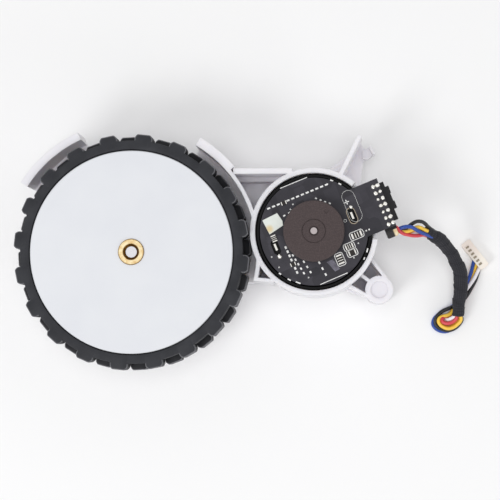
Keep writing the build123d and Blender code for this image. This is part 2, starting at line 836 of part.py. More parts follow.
# A gap of the big gear faces the pinion that drives it, a tooth of the small one faces the next gear
hub_foot_z = cover_thickness + cover_boss + gear_end_play
half_gap = 180 / wheel_teeth
build_compound_gear(
    "gear_1",
    gear_1_at,
    (module_1, wheel_teeth, heading(gear_1_at, motor_at) + half_gap, layer_a_z, face_width),
    (
        module_2,
        pinion_teeth,
        heading(gear_1_at, gear_2_at),
        layer_a_z + face_width,
        layer_b_z - layer_a_z,
    ),
    pin_radius + wall,
    hub_foot_z,
    motor_ceiling_z - gear_end_play,
)
build_compound_gear(
    "gear_2",
    gear_2_at,
    (module_2, wheel_teeth, heading(gear_2_at, gear_1_at) + half_gap, layer_b_z, face_width),
    (
        module_3,
        pinion_teeth,
        heading(gear_2_at, gear_3_at),
        layer_b_z + face_width,
        layer_c_z - layer_b_z,
    ),
    pin_radius + wall,
    hub_foot_z,
    well_ceiling_z - gear_end_play,
)
build_compound_gear(
    "gear_3",
    gear_3_at,
    (module_3, wheel_teeth, heading(gear_3_at, gear_2_at) + half_gap, layer_c_z, face_width),
    (module_4, pinion_teeth, heading(gear_3_at, wheel_at), layer_a_z, face_width),
    pin_radius + wall,
    hub_foot_z,
    well_ceiling_z - gear_end_play,
)

# Output gear on the wheel's shaft
with BuildPart() as output_gear:
    with BuildSketch(at(wheel_at, layer_a_z)):
        Polygon(
            *gear_points(module_4, output_teeth, heading(wheel_at, gear_3_at) + 180 / output_teeth),
            align=None,
        )
    extrude(amount=face_width)
    with BuildSketch(at(wheel_at, layer_a_z)):
        Circle(bush_outer_radius)
    extrude(amount=layer_c_z - layer_a_z - gear_end_play)
    with BuildSketch(at(wheel_at, layer_a_z)):
        Circle(shaft_radius + 0.02)
    extrude(amount=layer_c_z - layer_a_z, mode=Mode.SUBTRACT)
save(output_gear.part, "output_gear")

# Bearing bushes
with BuildPart() as shaft_bearing_rear:
    with BuildSketch(at(wheel_at, cover_thickness - pin_socket)):
        Circle(bush_outer_radius)
        Circle(shaft_radius + running_gap, mode=Mode.SUBTRACT)
    extrude(amount=pin_socket + layer_a_z - cover_thickness - gear_end_play)
save(shaft_bearing_rear.part, "shaft_bearing_rear")

with BuildPart() as shaft_bearing_front:
    with BuildSketch(at(wheel_at, layer_c_z)):
        Circle(bush_outer_radius)
        Circle(shaft_radius + running_gap, mode=Mode.SUBTRACT)
    extrude(amount=bearing_top_z - layer_c_z)
save(shaft_bearing_front.part, "shaft_bearing_front")

# Output shaft with its slimmer nose through the brass insert
shaft_foot_z = cover_thickness - pin_socket + hole_gap
nose_top_z = disc_top_z - 0.5
insert_z = disc_top_z + 0.6 - insert_depth
with BuildPart() as output_shaft:
    with BuildSketch(at(wheel_at, shaft_foot_z)):
        Circle(shaft_radius)
    extrude(amount=insert_z - hole_gap - shaft_foot_z)
    with BuildSketch(at(wheel_at, shaft_foot_z)):
        Circle(shaft_nose_radius)
    extrude(amount=nose_top_z - shaft_foot_z)
save(output_shaft.part, "output_shaft")

with BuildPart() as shaft_washer:
    with BuildSketch(at(wheel_at, washer_z)):
        Circle(bush_outer_radius)
        Circle(shaft_radius + running_gap, mode=Mode.SUBTRACT)
    extrude(amount=washer_thickness)
save(shaft_washer.part, "shaft_washer")

# Brass insert with a flared mouth
with BuildPart() as hub_insert:
    with BuildSketch(at(wheel_at, insert_z)):
        Circle(insert_radius)
        Circle(shaft_nose_radius + 0.03, mode=Mode.SUBTRACT)
    extrude(amount=insert_depth)
    chamfer(hub_insert.edges().group_by(Axis.Z)[-1].sort_by(SortBy.RADIUS)[0], length=0.8)
    chamfer(hub_insert.edges().group_by(Axis.Z)[-1].sort_by(SortBy.RADIUS)[-1], length=0.25)
save(hub_insert.part, "hub_insert")

# Wheel hub: rim, web, boss and ribs, open to the rear
rim_radius = tyre_inner_radius - seat_gap
with BuildPart() as wheel_hub:
    with BuildSketch(at(wheel_at, tyre_z + 0.3)):
        Circle(rim_radius)
    extrude(amount=web_top_z - tyre_z - 0.3)
    with BuildSketch(at(wheel_at, tyre_z + 0.3)):
        Circle(rim_radius - hub_rim_wall)
    extrude(amount=web_top_z - hub_web - tyre_z - 0.3, mode=Mode.SUBTRACT)
    with BuildSketch(at(wheel_at, hub_boss_z)):
        Circle(hub_boss_radius)
        for spoke in range(hub_ribs):
            with Locations(Location((0, 0, 0), (0, 0, spoke * 360 / hub_ribs))):
                with Locations((rim_radius / 2, 0)):
                    Rectangle(rim_radius - hub_rim_wall, rib_wall)
    extrude(amount=web_top_z - hub_boss_z)
    with BuildSketch(at(wheel_at, hub_boss_z)):
        Circle(shaft_radius + 0.02)
    extrude(amount=insert_z - hub_boss_z, mode=Mode.SUBTRACT)
    with BuildSketch(at(wheel_at, insert_z - seat_gap)):
        Circle(insert_radius + 0.02)
    extrude(amount=insert_depth, mode=Mode.SUBTRACT)
save(wheel_hub.part, "wheel_hub")

# Face disc
with BuildPart() as hub_disc:
    with BuildSketch(at(wheel_at, disc_z)):
        Circle(disc_radius)
        Circle(insert_radius + seat_gap, mode=Mode.SUBTRACT)
    extrude(amount=disc_thickness)
    chamfer(hub_disc.edges().group_by(Axis.Z)[-1].sort_by(SortBy.RADIUS)[-1], length=0.2)
save(hub_disc.part, "hub_disc")


def lug_outline(angle):
    """Lug with cut corners in plan, from inside the band to the tip, in the running sketch."""
    half_outline = [
        (tyre_base_radius - tyre_wall / 2, lug_base_angle / 2),
        (tyre_radius - lug_corner, lug_shoulder_angle / 2),
        (tyre_radius, lug_tip_angle / 2),
    ]
    corners = [unit(angle - half) * reach for reach, half in half_outline]
    corners += [unit(angle + half) * reach for reach, half in reversed(half_outline)]
    Polygon(*[(corner.X, corner.Y) for corner in corners], align=None)


# Tyre with two staggered rows of lugs
with BuildPart() as tyre:
    with BuildSketch(at(wheel_at, tyre_z)):
        Circle(tyre_base_radius)
        for lug in range(lug_count):
            lug_outline(far_row_angle + lug * 360 / lug_count)
        Circle(tyre_inner_radius, mode=Mode.SUBTRACT)
    extrude(amount=tyre_width / 2)
    with BuildSketch(at(wheel_at, tyre_middle_z)):
        Circle(tyre_base_radius)
        for lug in range(lug_count):
            lug_outline(near_row_angle + lug * 360 / lug_count)
        Circle(tyre_inner_radius, mode=Mode.SUBTRACT)
    extrude(amount=tyre_width / 2)
save(tyre.part, "tyre")


# Wiring harness
def bend_radii(points):
    """Radius at each corner of a route, as large as its two runs allow."""
    radii = []
    for before, here, after in zip(points, points[1:], points[2:]):
        run_in = here - before
        run_out = after - here
        half_turn = math.radians(run_in.get_angle(run_out)) / 2
        radii.append(0.45 * min(run_in.length, run_out.length) / math.tan(half_turn))
    return radii


def beside(route, widths, rises, leans, column, row):
    """One wire of the flat bundle: the route moved sideways and up by its column and row."""
    moved = []
    for index, point in enumerate(route):
        before = route[max(index - 1, 0)]
        after = route[min(index + 1, len(route) - 1)]
        along = (after - before).normalized()
        left = Vector(0, 0, 1).cross(along).normalized()
        up = along.cross(left)
        sideways = column * widths[index] + row * leans[index]
        moved.append(point + left * sideways + up * (row * rises[index]))
    return moved


def tube(points, radius):
    """Round tube along a route: straight runs joined by arcs."""
    with BuildPart() as piece:
        with BuildLine():
            FilletPolyline(*points, radius=bend_radii(points))
        with BuildSketch(Plane(origin=points[0], z_dir=points[1] - points[0])):
            Circle(radius)
        sweep()
    return piece.part


sleeve_route = [
    Vector(13.86, 17.84, 20.4),
    Vector(19.6, 14.9, 16.4),
    Vector(22.8, 10.6, 12.6),
    Vector(24.8, 5.8, 9.2),
    Vector(25.4, 0.9, 6.8),
    Vector(24.9, -3.3, 5.3),
    Vector(24.6, -7.3, 4.3),
]
lead_start = board_plug_at + unit(tab_angle) * (board_plug_depth / 2 - wire_push)
lead_next = lead_start + unit(tab_angle) * 2.8
lead_route = [
    Vector(lead_start.X, lead_start.Y, header_z + 1.6),
    Vector(lead_next.X, lead_next.Y, header_z + 1.2),
    Vector(9.8, 19.3, 24.2),
    Vector(12.12, 18.72, 21.62),
    Vector(14.24, 17.64, 20.14),
]
lead_widths = [1.2, 1.6, 1.9, 1.5, 1.2]
lead_rises = [1.25, 1.35, 1.5, 1.35, 1.2]
lead_leans = [0.0, 0.0, 0.0, 0.0, 0.0]
loop_route = [
    Vector(24.64, -6.81, 4.4),
    Vector(24.6, -9.0, 3.5),
    Vector(23.2, -10.9, 2.7),
    Vector(20.9, -11.3, 2.1),
    Vector(18.8, -10.3, 1.7),
    Vector(18.0, -8.2, 1.5),
    Vector(19.0, -6.3, 1.5),
    Vector(21.6, -5.1, 1.5),
    Vector(24.6, -3.4, 1.5),
    Vector(26.3, -0.3, 1.5),
    Vector(26.9, 3.4, 1.6),
]
loop_widths = [1.2, 1.27, 1.29, 1.29, 1.31, 1.31, 1.29, 1.3, 1.32, 1.35, 1.35]
loop_rises = [1.2, 1.2, 1.2, 1.2, 1.2, 1.2, 1.2, 1.2, 1.15, 1.1, 1.1]
loop_leans = [0.0, 0.0, 0.0, 0.0, 0.0, 0.0, 0.0, 0.3, 0.55, 0.7, 0.7]

# Each wire: its column in the flat bundle, its row, and its way in the plug
wires = {
    "red": (-1, 0.5, 1.5),
    "orange": (0, -0.5, 0.5),
    "yellow": (0, 0.5, -0.5),
    "black": (-1, -0.5, 2.5),
    "blue": (1, 0.5, -2.5),
    "white": (1, -0.5, -1.5),
}
plug_left = unit(plug_angle)
plug_into = unit(plug_angle + 90)
wire_radius = wire_diameter / 2

for colour, (column, row, way) in wires.items():
    lead = beside(lead_route, lead_widths, lead_rises, lead_leans, column, row)
    loop = beside(loop_route, loop_widths, loop_rises, loop_leans, column, row)
    entry = plug_at + plug_left * (way * plug_pitch) - plug_into * (plug_depth / 2)
    gate = entry - plug_into * wire_straight
    loop.append(Vector(gate.X, gate.Y, plug_height / 2 + row * loop_rises[-1]))
    loop.append(Vector(entry.X, entry.Y, plug_height / 2 + row * plug_stagger) + plug_into * wire_push)
    lead_tube = tube(lead, wire_radius)
    loop_tube = tube(loop, wire_radius)
    with BuildPart() as wire:
        add(lead_tube)
        add(loop_tube)
    print("wire", colour, "radii", [round(r, 1) for r in bend_radii(lead) + bend_radii(loop)])
    save(wire.part, f"wire_{colour}")

print("sleeve radii", [round(r, 1) for r in bend_radii(sleeve_route)])
save(tube(sleeve_route, sleeve_radius), "harness_sleeve")

# Six-way plug on the harness, with its contacts in open slots on top
slots_at = [((way - (plug_ways - 1) / 2) * plug_pitch, slot_shift) for way in range(plug_ways)]
with BuildPart() as plug_housing:
    with BuildSketch(at(plug_at, 0.0, turn=plug_angle)):
        Rectangle(plug_length, plug_depth)
    extrude(amount=plug_height)
    chamfer(plug_housing.edges().filter_by(Axis.Z), length=0.4)
    with BuildSketch(at(plug_at, plug_height - slot_depth, turn=plug_angle)):
        with Locations(*slots_at):
            Rectangle(0.7, 1.1)
    extrude(amount=slot_depth, mode=Mode.SUBTRACT)
save(plug_housing.part, "plug_housing")

with BuildPart() as plug_contacts:
    with BuildSketch(at(plug_at, plug_height - slot_depth, turn=plug_angle)):
        with Locations(*slots_at):
            Rectangle(0.5, 0.9)
    extrude(amount=0.3)
save(plug_contacts.part, "plug_contacts")
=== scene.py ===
# %% [markdown]
# # Dressing the wheel module of a robot vacuum
#
# The solid model of the module comes from a CAD program and arrives here as a fixed frame: 43 small
# parts, each already in its place, in metres. This lesson gives every part the surface of the real
# material, adds the small things that CAD leaves plain, and lights the whole like a product photograph
# taken from straight above.

# %% Load the frame
import math

import bmesh
import bpy
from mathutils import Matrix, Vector


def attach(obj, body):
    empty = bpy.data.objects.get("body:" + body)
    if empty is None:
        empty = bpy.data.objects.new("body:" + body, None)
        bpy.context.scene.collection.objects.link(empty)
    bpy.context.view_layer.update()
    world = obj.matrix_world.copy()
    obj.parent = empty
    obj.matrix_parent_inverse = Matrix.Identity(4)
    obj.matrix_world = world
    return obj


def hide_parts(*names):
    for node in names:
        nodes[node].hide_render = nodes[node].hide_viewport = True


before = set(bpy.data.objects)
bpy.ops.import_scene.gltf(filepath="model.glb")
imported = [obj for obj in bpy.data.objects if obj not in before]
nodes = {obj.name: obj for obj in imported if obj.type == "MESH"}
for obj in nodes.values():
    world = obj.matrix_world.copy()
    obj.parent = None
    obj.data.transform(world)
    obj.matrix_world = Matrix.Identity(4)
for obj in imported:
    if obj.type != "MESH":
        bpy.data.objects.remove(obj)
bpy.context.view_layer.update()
print("parts in the frame:", len(nodes))

# %% [markdown]
# ## Small helpers
#
# A few helpers serve the whole lesson. One turns a colour as it is written on the web into the linear
# values that Blender calculates with. One adds a node to a node tree with its settings and its links,
# and one sets or links the inputs of a node that is there. Others fade between two tints, finish a
# shader, open a material, put an object in the scene, make a mesh out of corners and faces, and read
# the mesh that modifiers leave. Sizes of parts are easier to read in millimetres, so a named unit turns
# them into metres.

# %% Colour, node and mesh helpers
mm = 0.001
scene = bpy.context.scene


def colour(code):
    """An sRGB hex code, such as E8B45A, as linear red, green, blue and alpha."""
    shares = [int(code[place : place + 2], 16) / 255 for place in (0, 2, 4)]
    linear = [c / 12.92 if c <= 0.04045 else ((c + 0.055) / 1.055) ** 2.4 for c in shares]
    return (*linear, 1.0)


def set_inputs(node, inputs):
    """Give inputs their values, or link them to a socket or to the first output of another node."""
    for name, value in inputs.items():
        if isinstance(value, bpy.types.Node):
            value = next(socket for socket in value.outputs if socket.enabled)
        if isinstance(value, bpy.types.NodeSocket):
            node.id_data.links.new(value, node.inputs[name])
        else:
            node.inputs[name].default_value = value


def add_node(tree, kind, inputs=None, **settings):
    """One node with its settings and inputs. The kind of a shader node is given without its prefix."""
    node = tree.nodes.new(kind if "Node" in kind else f"ShaderNode{kind}")
    for setting, value in settings.items():
        setattr(node, setting, value)
    set_inputs(node, inputs or {})
    return node


def fade(tree, measure, start, end, first, then, shares=(0.0, 1.0)):
    """A tint that goes from the first to the other as a measure goes from start to end."""
    span = {"From Min": start, "From Max": end, "To Min": shares[0], "To Max": shares[1]}
    share = add_node(tree, "MapRange", {"Value": measure, **span})
    return add_node(tree, "Mix", {"Factor": share, "A": first, "B": then}, data_type="RGBA")


def dress(tree, shader, tint, pattern, rough, spread, relief, others):
    """Give a shader its tint, a roughness that varies with a pattern, and a relief."""
    limits = {"To Min": rough - spread, "To Max": rough + spread}
    gloss = add_node(tree, "MapRange", {"Value": pattern, **limits})
    bump = add_node(tree, "Bump", relief)
    set_inputs(shader, {"Base Color": tint, "Roughness": gloss, "Normal": bump, **others})


def open_finish(material):
    """The node tree of a material, its shader, and the coordinates of the object that wears it."""
    tree = material.node_tree
    place = add_node(tree, "TexCoord").outputs["Object"]
    return tree, tree.nodes["Principled BSDF"], place


def new_finish(name):
    """A material with nodes, and what open_finish gives of it."""
    material = bpy.data.materials.new(name)
    material.use_nodes = True
    return material, *open_finish(material)


def put_in_scene(name, data):
    """An object at the origin for a mesh, a curve, a lamp or a camera."""
    made = bpy.data.objects.new(name, data)
    scene.collection.objects.link(made)
    return made


def mesh_object(name, corners, faces, material, smooth=False):
    """A mesh at the origin whose corners are given in metres."""
    mesh = bpy.data.meshes.new(name)
    mesh.from_pydata([tuple(corner) for corner in corners], [], faces)
    mesh.materials.append(material)
    mesh.polygons.foreach_set("use_smooth", [smooth] * len(mesh.polygons))
    return put_in_scene(name, mesh)


def ring_faces(rings, around, closed=False):
    """Faces between each ring of corners and the next, and from the last to the first if closed."""
    faces = []
    for ring in range(rings if closed else rings - 1):
        here, there = ring * around, (ring + 1) % rings * around
        for step in range(around):
            after = (step + 1) % around
            faces.append((here + step, here + after, there + after, there + step))
    return faces


def plain_mesh(made):
    """The mesh that an object has once its modifiers or its curve are worked out."""
    bpy.context.view_layer.update()
    evaluated = made.evaluated_get(bpy.context.evaluated_depsgraph_get())
    return bpy.data.meshes.new_from_object(evaluated)


print("one millimetre is", mm, "m")

# %% [markdown]
# ## Camera and table
#
# The module was photographed lying on a white table, from about 60 cm above. The edges that stand up
# lean away from a point at the lower right of the picture, so the camera was tilted by four degrees.
# A long lens keeps the wheel's round face round. Its length is known in pixels of the picture.

# %% Camera
lens_pixels = 1924.9
picture_pixels = 500

camera_data = bpy.data.cameras.new("copy_stand_camera")
camera_data.sensor_width = 36.0
camera_data.lens = lens_pixels / picture_pixels * camera_data.sensor_width
camera = put_in_scene("copy_stand_camera", camera_data)
camera.location = (-0.01175, -0.01758, 0.60243)
camera.rotation_euler = (0.05077, 0.04686, 0.00214)
scene.camera = camera
print("lens", round(camera_data.lens, 1), "mm, height", round(camera.location.z, 3), "m")

# %% [markdown]
# ## Light
#
# A white tent gives half of the light. A wide, soft light from overhead fills the pockets that the
# camera looks into, and a large lamp at the lower left draws the faint shadow towards the upper right.
# A weak one at the lower right lights the walls that face it and the lug tips. Together they light a
# white surface to just under full white, so each colour comes out about as it is written. The camera
# and the reflections see the tent brighter than the object does, which keeps the background clean.
# The light overhead is left out of reflections, so shiny parts mirror only the tent and the lamps.

# %% World, lamps and table
scene.view_settings.view_transform = "Standard"

tent_light = 0.50
tent_seen = 0.95
world = bpy.data.worlds.new("white_tent")
world.use_nodes = True
scene.world = world
tree = world.node_tree
rays = add_node(tree, "LightPath").outputs
either = {0: rays["Is Camera Ray"], 1: rays["Is Glossy Ray"]}
seen = add_node(tree, "Math", either, operation="MAXIMUM")
strength = add_node(tree, "MapRange", {"Value": seen, "To Min": tent_light, "To Max": tent_seen})
set_inputs(tree.nodes["Background"], {"Color": colour("FDFDFE"), "Strength": strength})

for name, kind, size, energy, stands_at, looks_at in (
    ("soft_box", "AREA", 0.45, 4.1, (-0.62, -0.52, 0.95), (-0.03, 0.01, 0.0)),
    ("overhead_fill", "SUN", math.radians(30), 1.05, (0.0, 0.0, 1.0), (0.0, 0.0, 0.0)),
    ("edge_card", "AREA", 0.4, 0.8, (0.55, -0.75, 0.5), (-0.03, 0.0, 0.0)),
):
    lamp_data = bpy.data.lights.new(name, kind)
    lamp_data.energy = energy
    if kind == "SUN":
        lamp_data.angle = size
    else:
        lamp_data.shape = "DISK"
        lamp_data.size = size
    lamp = put_in_scene(name, lamp_data)
    lamp.location = stands_at
    lamp.rotation_euler = (Vector(looks_at) - lamp.location).to_track_quat("-Z", "Y").to_euler()
    lamp.visible_glossy = kind != "SUN"

table_finish, _, shader, _ = new_finish("table_matte_paper")
set_inputs(shader, {"Base Color": colour("F4F4F4"), "Roughness": 0.9, "Specular IOR Level": 0.1})
half = 0.9
table_corners = [(-half, -half, 0), (half, -half, 0), (half, half, 0), (-half, half, 0)]
table = mesh_object("table_top", table_corners, [(0, 1, 2, 3)], table_finish)
print("table", 2 * half, "m wide")

# %% [markdown]
# ## Wire insulation
#
# The leads are stranded copper in PVC insulation, 1.15 mm across. PVC is dyed right through and comes
# out of the extruder smooth, so it is glossy with soft highlights, and only a very slow unevenness
# shows. One function makes the same finish in six colours.


# %% Insulation colours
def pvc_insulation(name, code):
    """Extruded PVC: even colour, a soft gloss, and a slight waviness along the wire."""
    material, tree, shader, place = new_finish(name)
    waves = add_node(tree, "TexNoise", {"Vector": place, "Scale": 900.0})
    value = add_node(tree, "MapRange", {"Value": waves, "To Min": 0.82, "To Max": 1.18})
    tint = add_node(tree, "HueSaturation", {"Color": colour(code), "Value": value})
    relief = {"Height": waves, "Strength": 0.3, "Distance": 0.05 * mm}
    dress(tree, shader, tint, waves, 0.35, 0.1, relief, {"IOR": 1.53})
    return material


wire_names = ("red", "orange", "yellow", "black", "blue", "white")
wire_codes = ("D0424B", "E5A63A", "F2C648", "0D0D10", "20459A", "F2EEF2")
wire_finishes = {name: pvc_insulation(f"pvc_{name}", code) for name, code in zip(wire_names, wire_codes)}
print("insulation colours:", len(wire_finishes))

# %% [markdown]
# ## The route of the cloth tape
#
# The tape sleeve comes down from the control board, bends round and ends flat on the table. Its route
# is read off the photograph point by point, with the heights judged from how the sleeve lies. A smooth
# NURBS curve through these control points bends evenly and never kinks. The order of the curve is set
# after its points are there, because a spline without points falls back to straight runs.


# %% Sleeve route
def tenths(points):
    """Points in metres from points in whole tenths of a millimetre."""
    return [Vector([value * mm / 10 for value in point]) for point in points]


sleeve_route = tenths(
    [
        (139, 177, 210), (163, 166, 193), (188, 150, 166), (205, 134, 145), (220, 116, 125),
        (235, 93, 106), (247, 69, 90), (253, 46, 79), (254, 22, 70), (252, -2, 62), (250, -26, 56),
        (247, -48, 50), (246, -75, 43),
    ]
)


def smooth_curve(name, points, diameter):
    """A round cord along one smooth spline, in metres."""
    curve = bpy.data.curves.new(name, "CURVE")
    curve.dimensions = "3D"
    spline = curve.splines.new("NURBS")
    spline.points.add(len(points) - 1)
    for knot, point in zip(spline.points, points):
        knot.co = (*point, 1.0)
    spline.order_u = 3
    spline.use_endpoint_u = True
    spline.resolution_u = 8
    curve.bevel_depth = diameter / 2
    curve.bevel_resolution = 3
    curve.use_fill_caps = True
    return put_in_scene(name, curve)


def line_of(curve_object):
    """Points along the spline itself, read from a curve with no thickness."""
    bare = put_in_scene("bare_line", curve_object.data.copy())
    bare.data.bevel_depth = 0.0
    points = [vertex.co.copy() for vertex in plain_mesh(bare).vertices]
    bpy.data.objects.remove(bare)
    return points


def length_of(points):
    """Length of a line through points, in metres."""
    return sum((after - before).length for before, after in zip(points, points[1:]))


def follow(line, index):
    """Unit directions at a point of a line: to its left, and upwards."""
    along = (line[min(index + 1, len(line) - 1)] - line[max(index - 1, 0)]).normalized()
    left = Vector((0, 0, 1)).cross(along).normalized()
    return left, along.cross(left)


def inside_sleeve(left_share, up_share):
    """Points of one wire inside the sleeve, beside its route by the given millimetres."""
    run = []
    for index in range(1, len(sleeve_route) - 1):
        left, up = follow(sleeve_route, index)
        run.append(sleeve_route[index] + (left * left_share + up * up_share) * mm)
    return run


print("sleeve route points:", len(sleeve_route))

# %% [markdown]
# ## The six wires
#
# Each wire leaves the small plug under the board, runs inside the cloth tape, comes out at its lower
# end, makes one turn on the table and goes under the tape to the six-way plug. Its points before and
# after the tape are read off the photograph. Inside the tape it keeps its own place in the bundle:
# so many millimetres to the left of the tape's route, and so many above it.

# %% Wire routes
wire_diameter = 1.15 * mm

# Each wire: its lead to the sleeve, its place beside the sleeve's route in mm, and its run from there.
wire_routes = {
    "red": (
        [(44, 188, 266), (53, 182, 263), (62, 172, 252), (73, 166, 244), (89, 163, 236), (105, 161, 229),
         (121, 162, 222), (132, 166, 216)],
        (-0.95, -0.2),
        [(242, -68, 50), (243, -79, 47), (239, -88, 43), (230, -95, 40), (221, -99, 38), (211, -100, 36),
         (202, -97, 34), (197, -91, 32), (198, -83, 28), (204, -80, 23), (211, -81, 16), (218, -83, 10),
         (226, -78, 8), (234, -69, 7), (243, -52, 7), (254, -30, 7), (268, -8, 7), (284, 18, 9),
         (297, 44, 10), (314, 78, 13)],
    ),
    "orange": (
        [(54, 172, 238), (73, 170, 232), (87, 172, 230), (99, 176, 228), (109, 182, 229),
         (119, 183, 229), (129, 179, 224), (137, 175, 212)],
        (0.2, -0.95),
        [(250, -70, 37), (252, -83, 31), (248, -93, 25), (241, -100, 22), (233, -106, 19),
         (223, -111, 17), (214, -112, 16), (204, -108, 15), (195, -101, 14), (191, -93, 14),
         (193, -86, 14), (201, -81, 13), (211, -77, 12), (221, -71, 10), (233, -57, 9), (252, -27, 8),
         (270, 4, 9), (284, 34, 11), (293, 62, 12), (302, 94, 13)],
    ),
    "yellow": (
        [(54, 173, 250), (70, 172, 244), (82, 173, 241), (94, 177, 239), (104, 183, 241),
         (114, 187, 242), (124, 185, 238), (134, 180, 229)],
        (0.3, 0.9),
        [(253, -77, 49), (256, -85, 43), (253, -94, 38), (247, -100, 35), (238, -108, 32),
         (227, -114, 30), (214, -116, 28), (201, -111, 27), (191, -103, 26), (186, -93, 26),
         (188, -85, 26), (195, -79, 26), (206, -76, 25), (216, -74, 24), (224, -70, 22), (231, -62, 19),
         (244, -38, 13), (260, -8, 13), (276, 24, 16), (290, 46, 16), (299, 68, 17), (306, 90, 19)],
    ),
    "black": (
        [(53, 177, 246), (68, 178, 242), (80, 183, 242), (90, 191, 246), (100, 198, 249),
         (110, 203, 249), (120, 204, 246), (130, 202, 240), (139, 196, 232), (147, 188, 219)],
        (0.95, 0.25),
        [(255, -77, 36), (260, -85, 26), (257, -94, 22), (251, -103, 19), (242, -112, 17),
         (230, -119, 16), (217, -122, 15), (204, -120, 15), (192, -115, 15), (182, -108, 15),
         (177, -99, 16), (177, -90, 18), (180, -80, 20), (188, -70, 22), (198, -61, 23), (211, -55, 23),
         (222, -51, 22), (240, -44, 20), (260, -32, 18), (275, -15, 17), (287, 6, 16), (297, 24, 14),
         (306, 42, 12), (314, 72, 10)],
    ),
    "blue": (
        [(51, 178, 254), (62, 182, 258), (72, 186, 263), (84, 187, 263), (95, 186, 260), (106, 180, 253),
         (117, 174, 242), (129, 169, 230)],
        (-0.6, 0.75),
        [(253, -77, 32), (255, -85, 20), (250, -96, 14), (240, -106, 10), (229, -117, 8), (216, -124, 7),
         (202, -125, 7), (187, -121, 7), (175, -112, 7), (170, -102, 7), (171, -92, 7), (176, -82, 7),
         (185, -73, 7), (196, -64, 7), (208, -57, 7), (221, -53, 7), (237, -42, 8), (252, -15, 16),
         (265, 11, 24), (278, 33, 26), (286, 51, 26), (292, 74, 23), (298, 98, 20)],
    ),
    "white": (
        [(54, 172, 242), (71, 168, 232), (87, 167, 226), (103, 169, 221), (117, 171, 218),
         (131, 173, 212)],
        (0.0, -0.1),
        [(242, -68, 46), (236, -77, 43), (228, -83, 38), (220, -87, 32), (213, -89, 25), (208, -85, 18),
         (210, -80, 12), (218, -75, 8), (228, -67, 7), (240, -46, 9), (254, -20, 16), (270, 2, 23),
         (284, 20, 26), (296, 38, 27), (306, 56, 24), (316, 78, 19)],
    ),
}

cord_pieces = {}
for name, (lead, beside, loop) in wire_routes.items():
    route = tenths(lead) + inside_sleeve(*beside) + tenths(loop)
    wire = smooth_curve(f"lead_{name}", route, wire_diameter)
    wire.data.materials.append(wire_finishes[name])
    cord_pieces[name] = wire
    print("wire", name, "length", round(length_of(line_of(wire)) / mm, 1), "mm")

# %% [markdown]
# ## Cloth tape
#
# Black cloth tape is wound round the wires as a sleeve. Each turn overlaps the one before, so the
# sleeve has low slanted steps, and where it bends the tape creases. It is a tube that follows the
# route's own spline. Its width comes from the photograph: narrow at the mouth, where the last turn
# was pulled tight, and widest past the middle.

# %% Sleeve tube
sleeve_radius = 1.95 * mm
tape_pitch_mm = 4.6
width_profile = [
    (0.00, 1.62), (0.05, 1.72), (0.09, 1.70), (0.12, 1.95), (0.20, 1.98), (0.30, 1.85), (0.42, 1.88),
    (0.52, 2.02), (0.60, 2.08), (0.72, 2.12), (0.82, 1.98), (0.92, 1.82), (1.00, 1.72),
]

guide = smooth_curve("sleeve_guide", sleeve_route, 0.1 * mm)
guide.data.splines[0].resolution_u = 12
sleeve_line = line_of(guide)
bpy.data.objects.remove(guide)
sleeve_length = length_of(sleeve_line)
print("sleeve length", round(sleeve_length / mm, 1), "mm, points", len(sleeve_line))


def width_at(share):
    """Radius of the sleeve in mm at a share of its length."""
    for (start, from_radius), (end, to_radius) in zip(width_profile, width_profile[1:]):
        if share <= end:
            return from_radius + (to_radius - from_radius) * (share - start) / (end - start)
    return width_profile[-1][1]


def tape_relief(along_mm, angle):
    """Height of the tape's surface in mm: a step at each turn, small creases, and a slow slack."""
    turn = (along_mm / tape_pitch_mm + angle / (2 * math.pi)) % 1.0
    lap = 0.14 * (1.0 - turn) + 0.08 * max(0.0, 1.0 - turn * 9.0)
    crease = 0.035 * math.sin(along_mm * 2.3 + 2.0 * math.sin(angle * 2.0 + along_mm * 0.7))
    slack = 0.11 * math.sin(along_mm * 0.93 + 1.3) * math.cos(angle - 0.6)
    usual_lap = 0.08
    return lap + crease + slack - usual_lap


around = 48
flattening = 0.05
corners = []
travelled = 0.0
for index, point in enumerate(sleeve_line):
    if index:
        travelled += (point - sleeve_line[index - 1]).length
    left, up = follow(sleeve_line, index)
    for step in range(around):
        angle = 2 * math.pi * step / around
        radius = (width_at(travelled / sleeve_length) + tape_relief(travelled / mm, angle)) * mm
        flat = 1.0 + flattening * math.cos(2 * angle)
        corners.append(point + (left * math.cos(angle) * flat + up * math.sin(angle) / flat) * radius)
faces = ring_faces(len(sleeve_line), around)
cap = len(corners)
corners += [sleeve_line[0], sleeve_line[-1]]
last = cap - around
for step in range(around):
    turned = (step + 1) % around
    faces += [(turned, step, cap), (last + step, last + turned, cap + 1)]
print("sleeve faces", len(faces))

# %% [markdown]
# ## Weave of the tape
#
# The cloth is a plain weave of dull black yarn, about four yarns to the millimetre. That is finer than
# a pixel of the picture, so it is drawn at three to the millimetre, where it still reads as cloth. The
# yarn is matte, and its raised threads catch a little light. The weave follows the sleeve's own UV
# map, which runs along and round it.

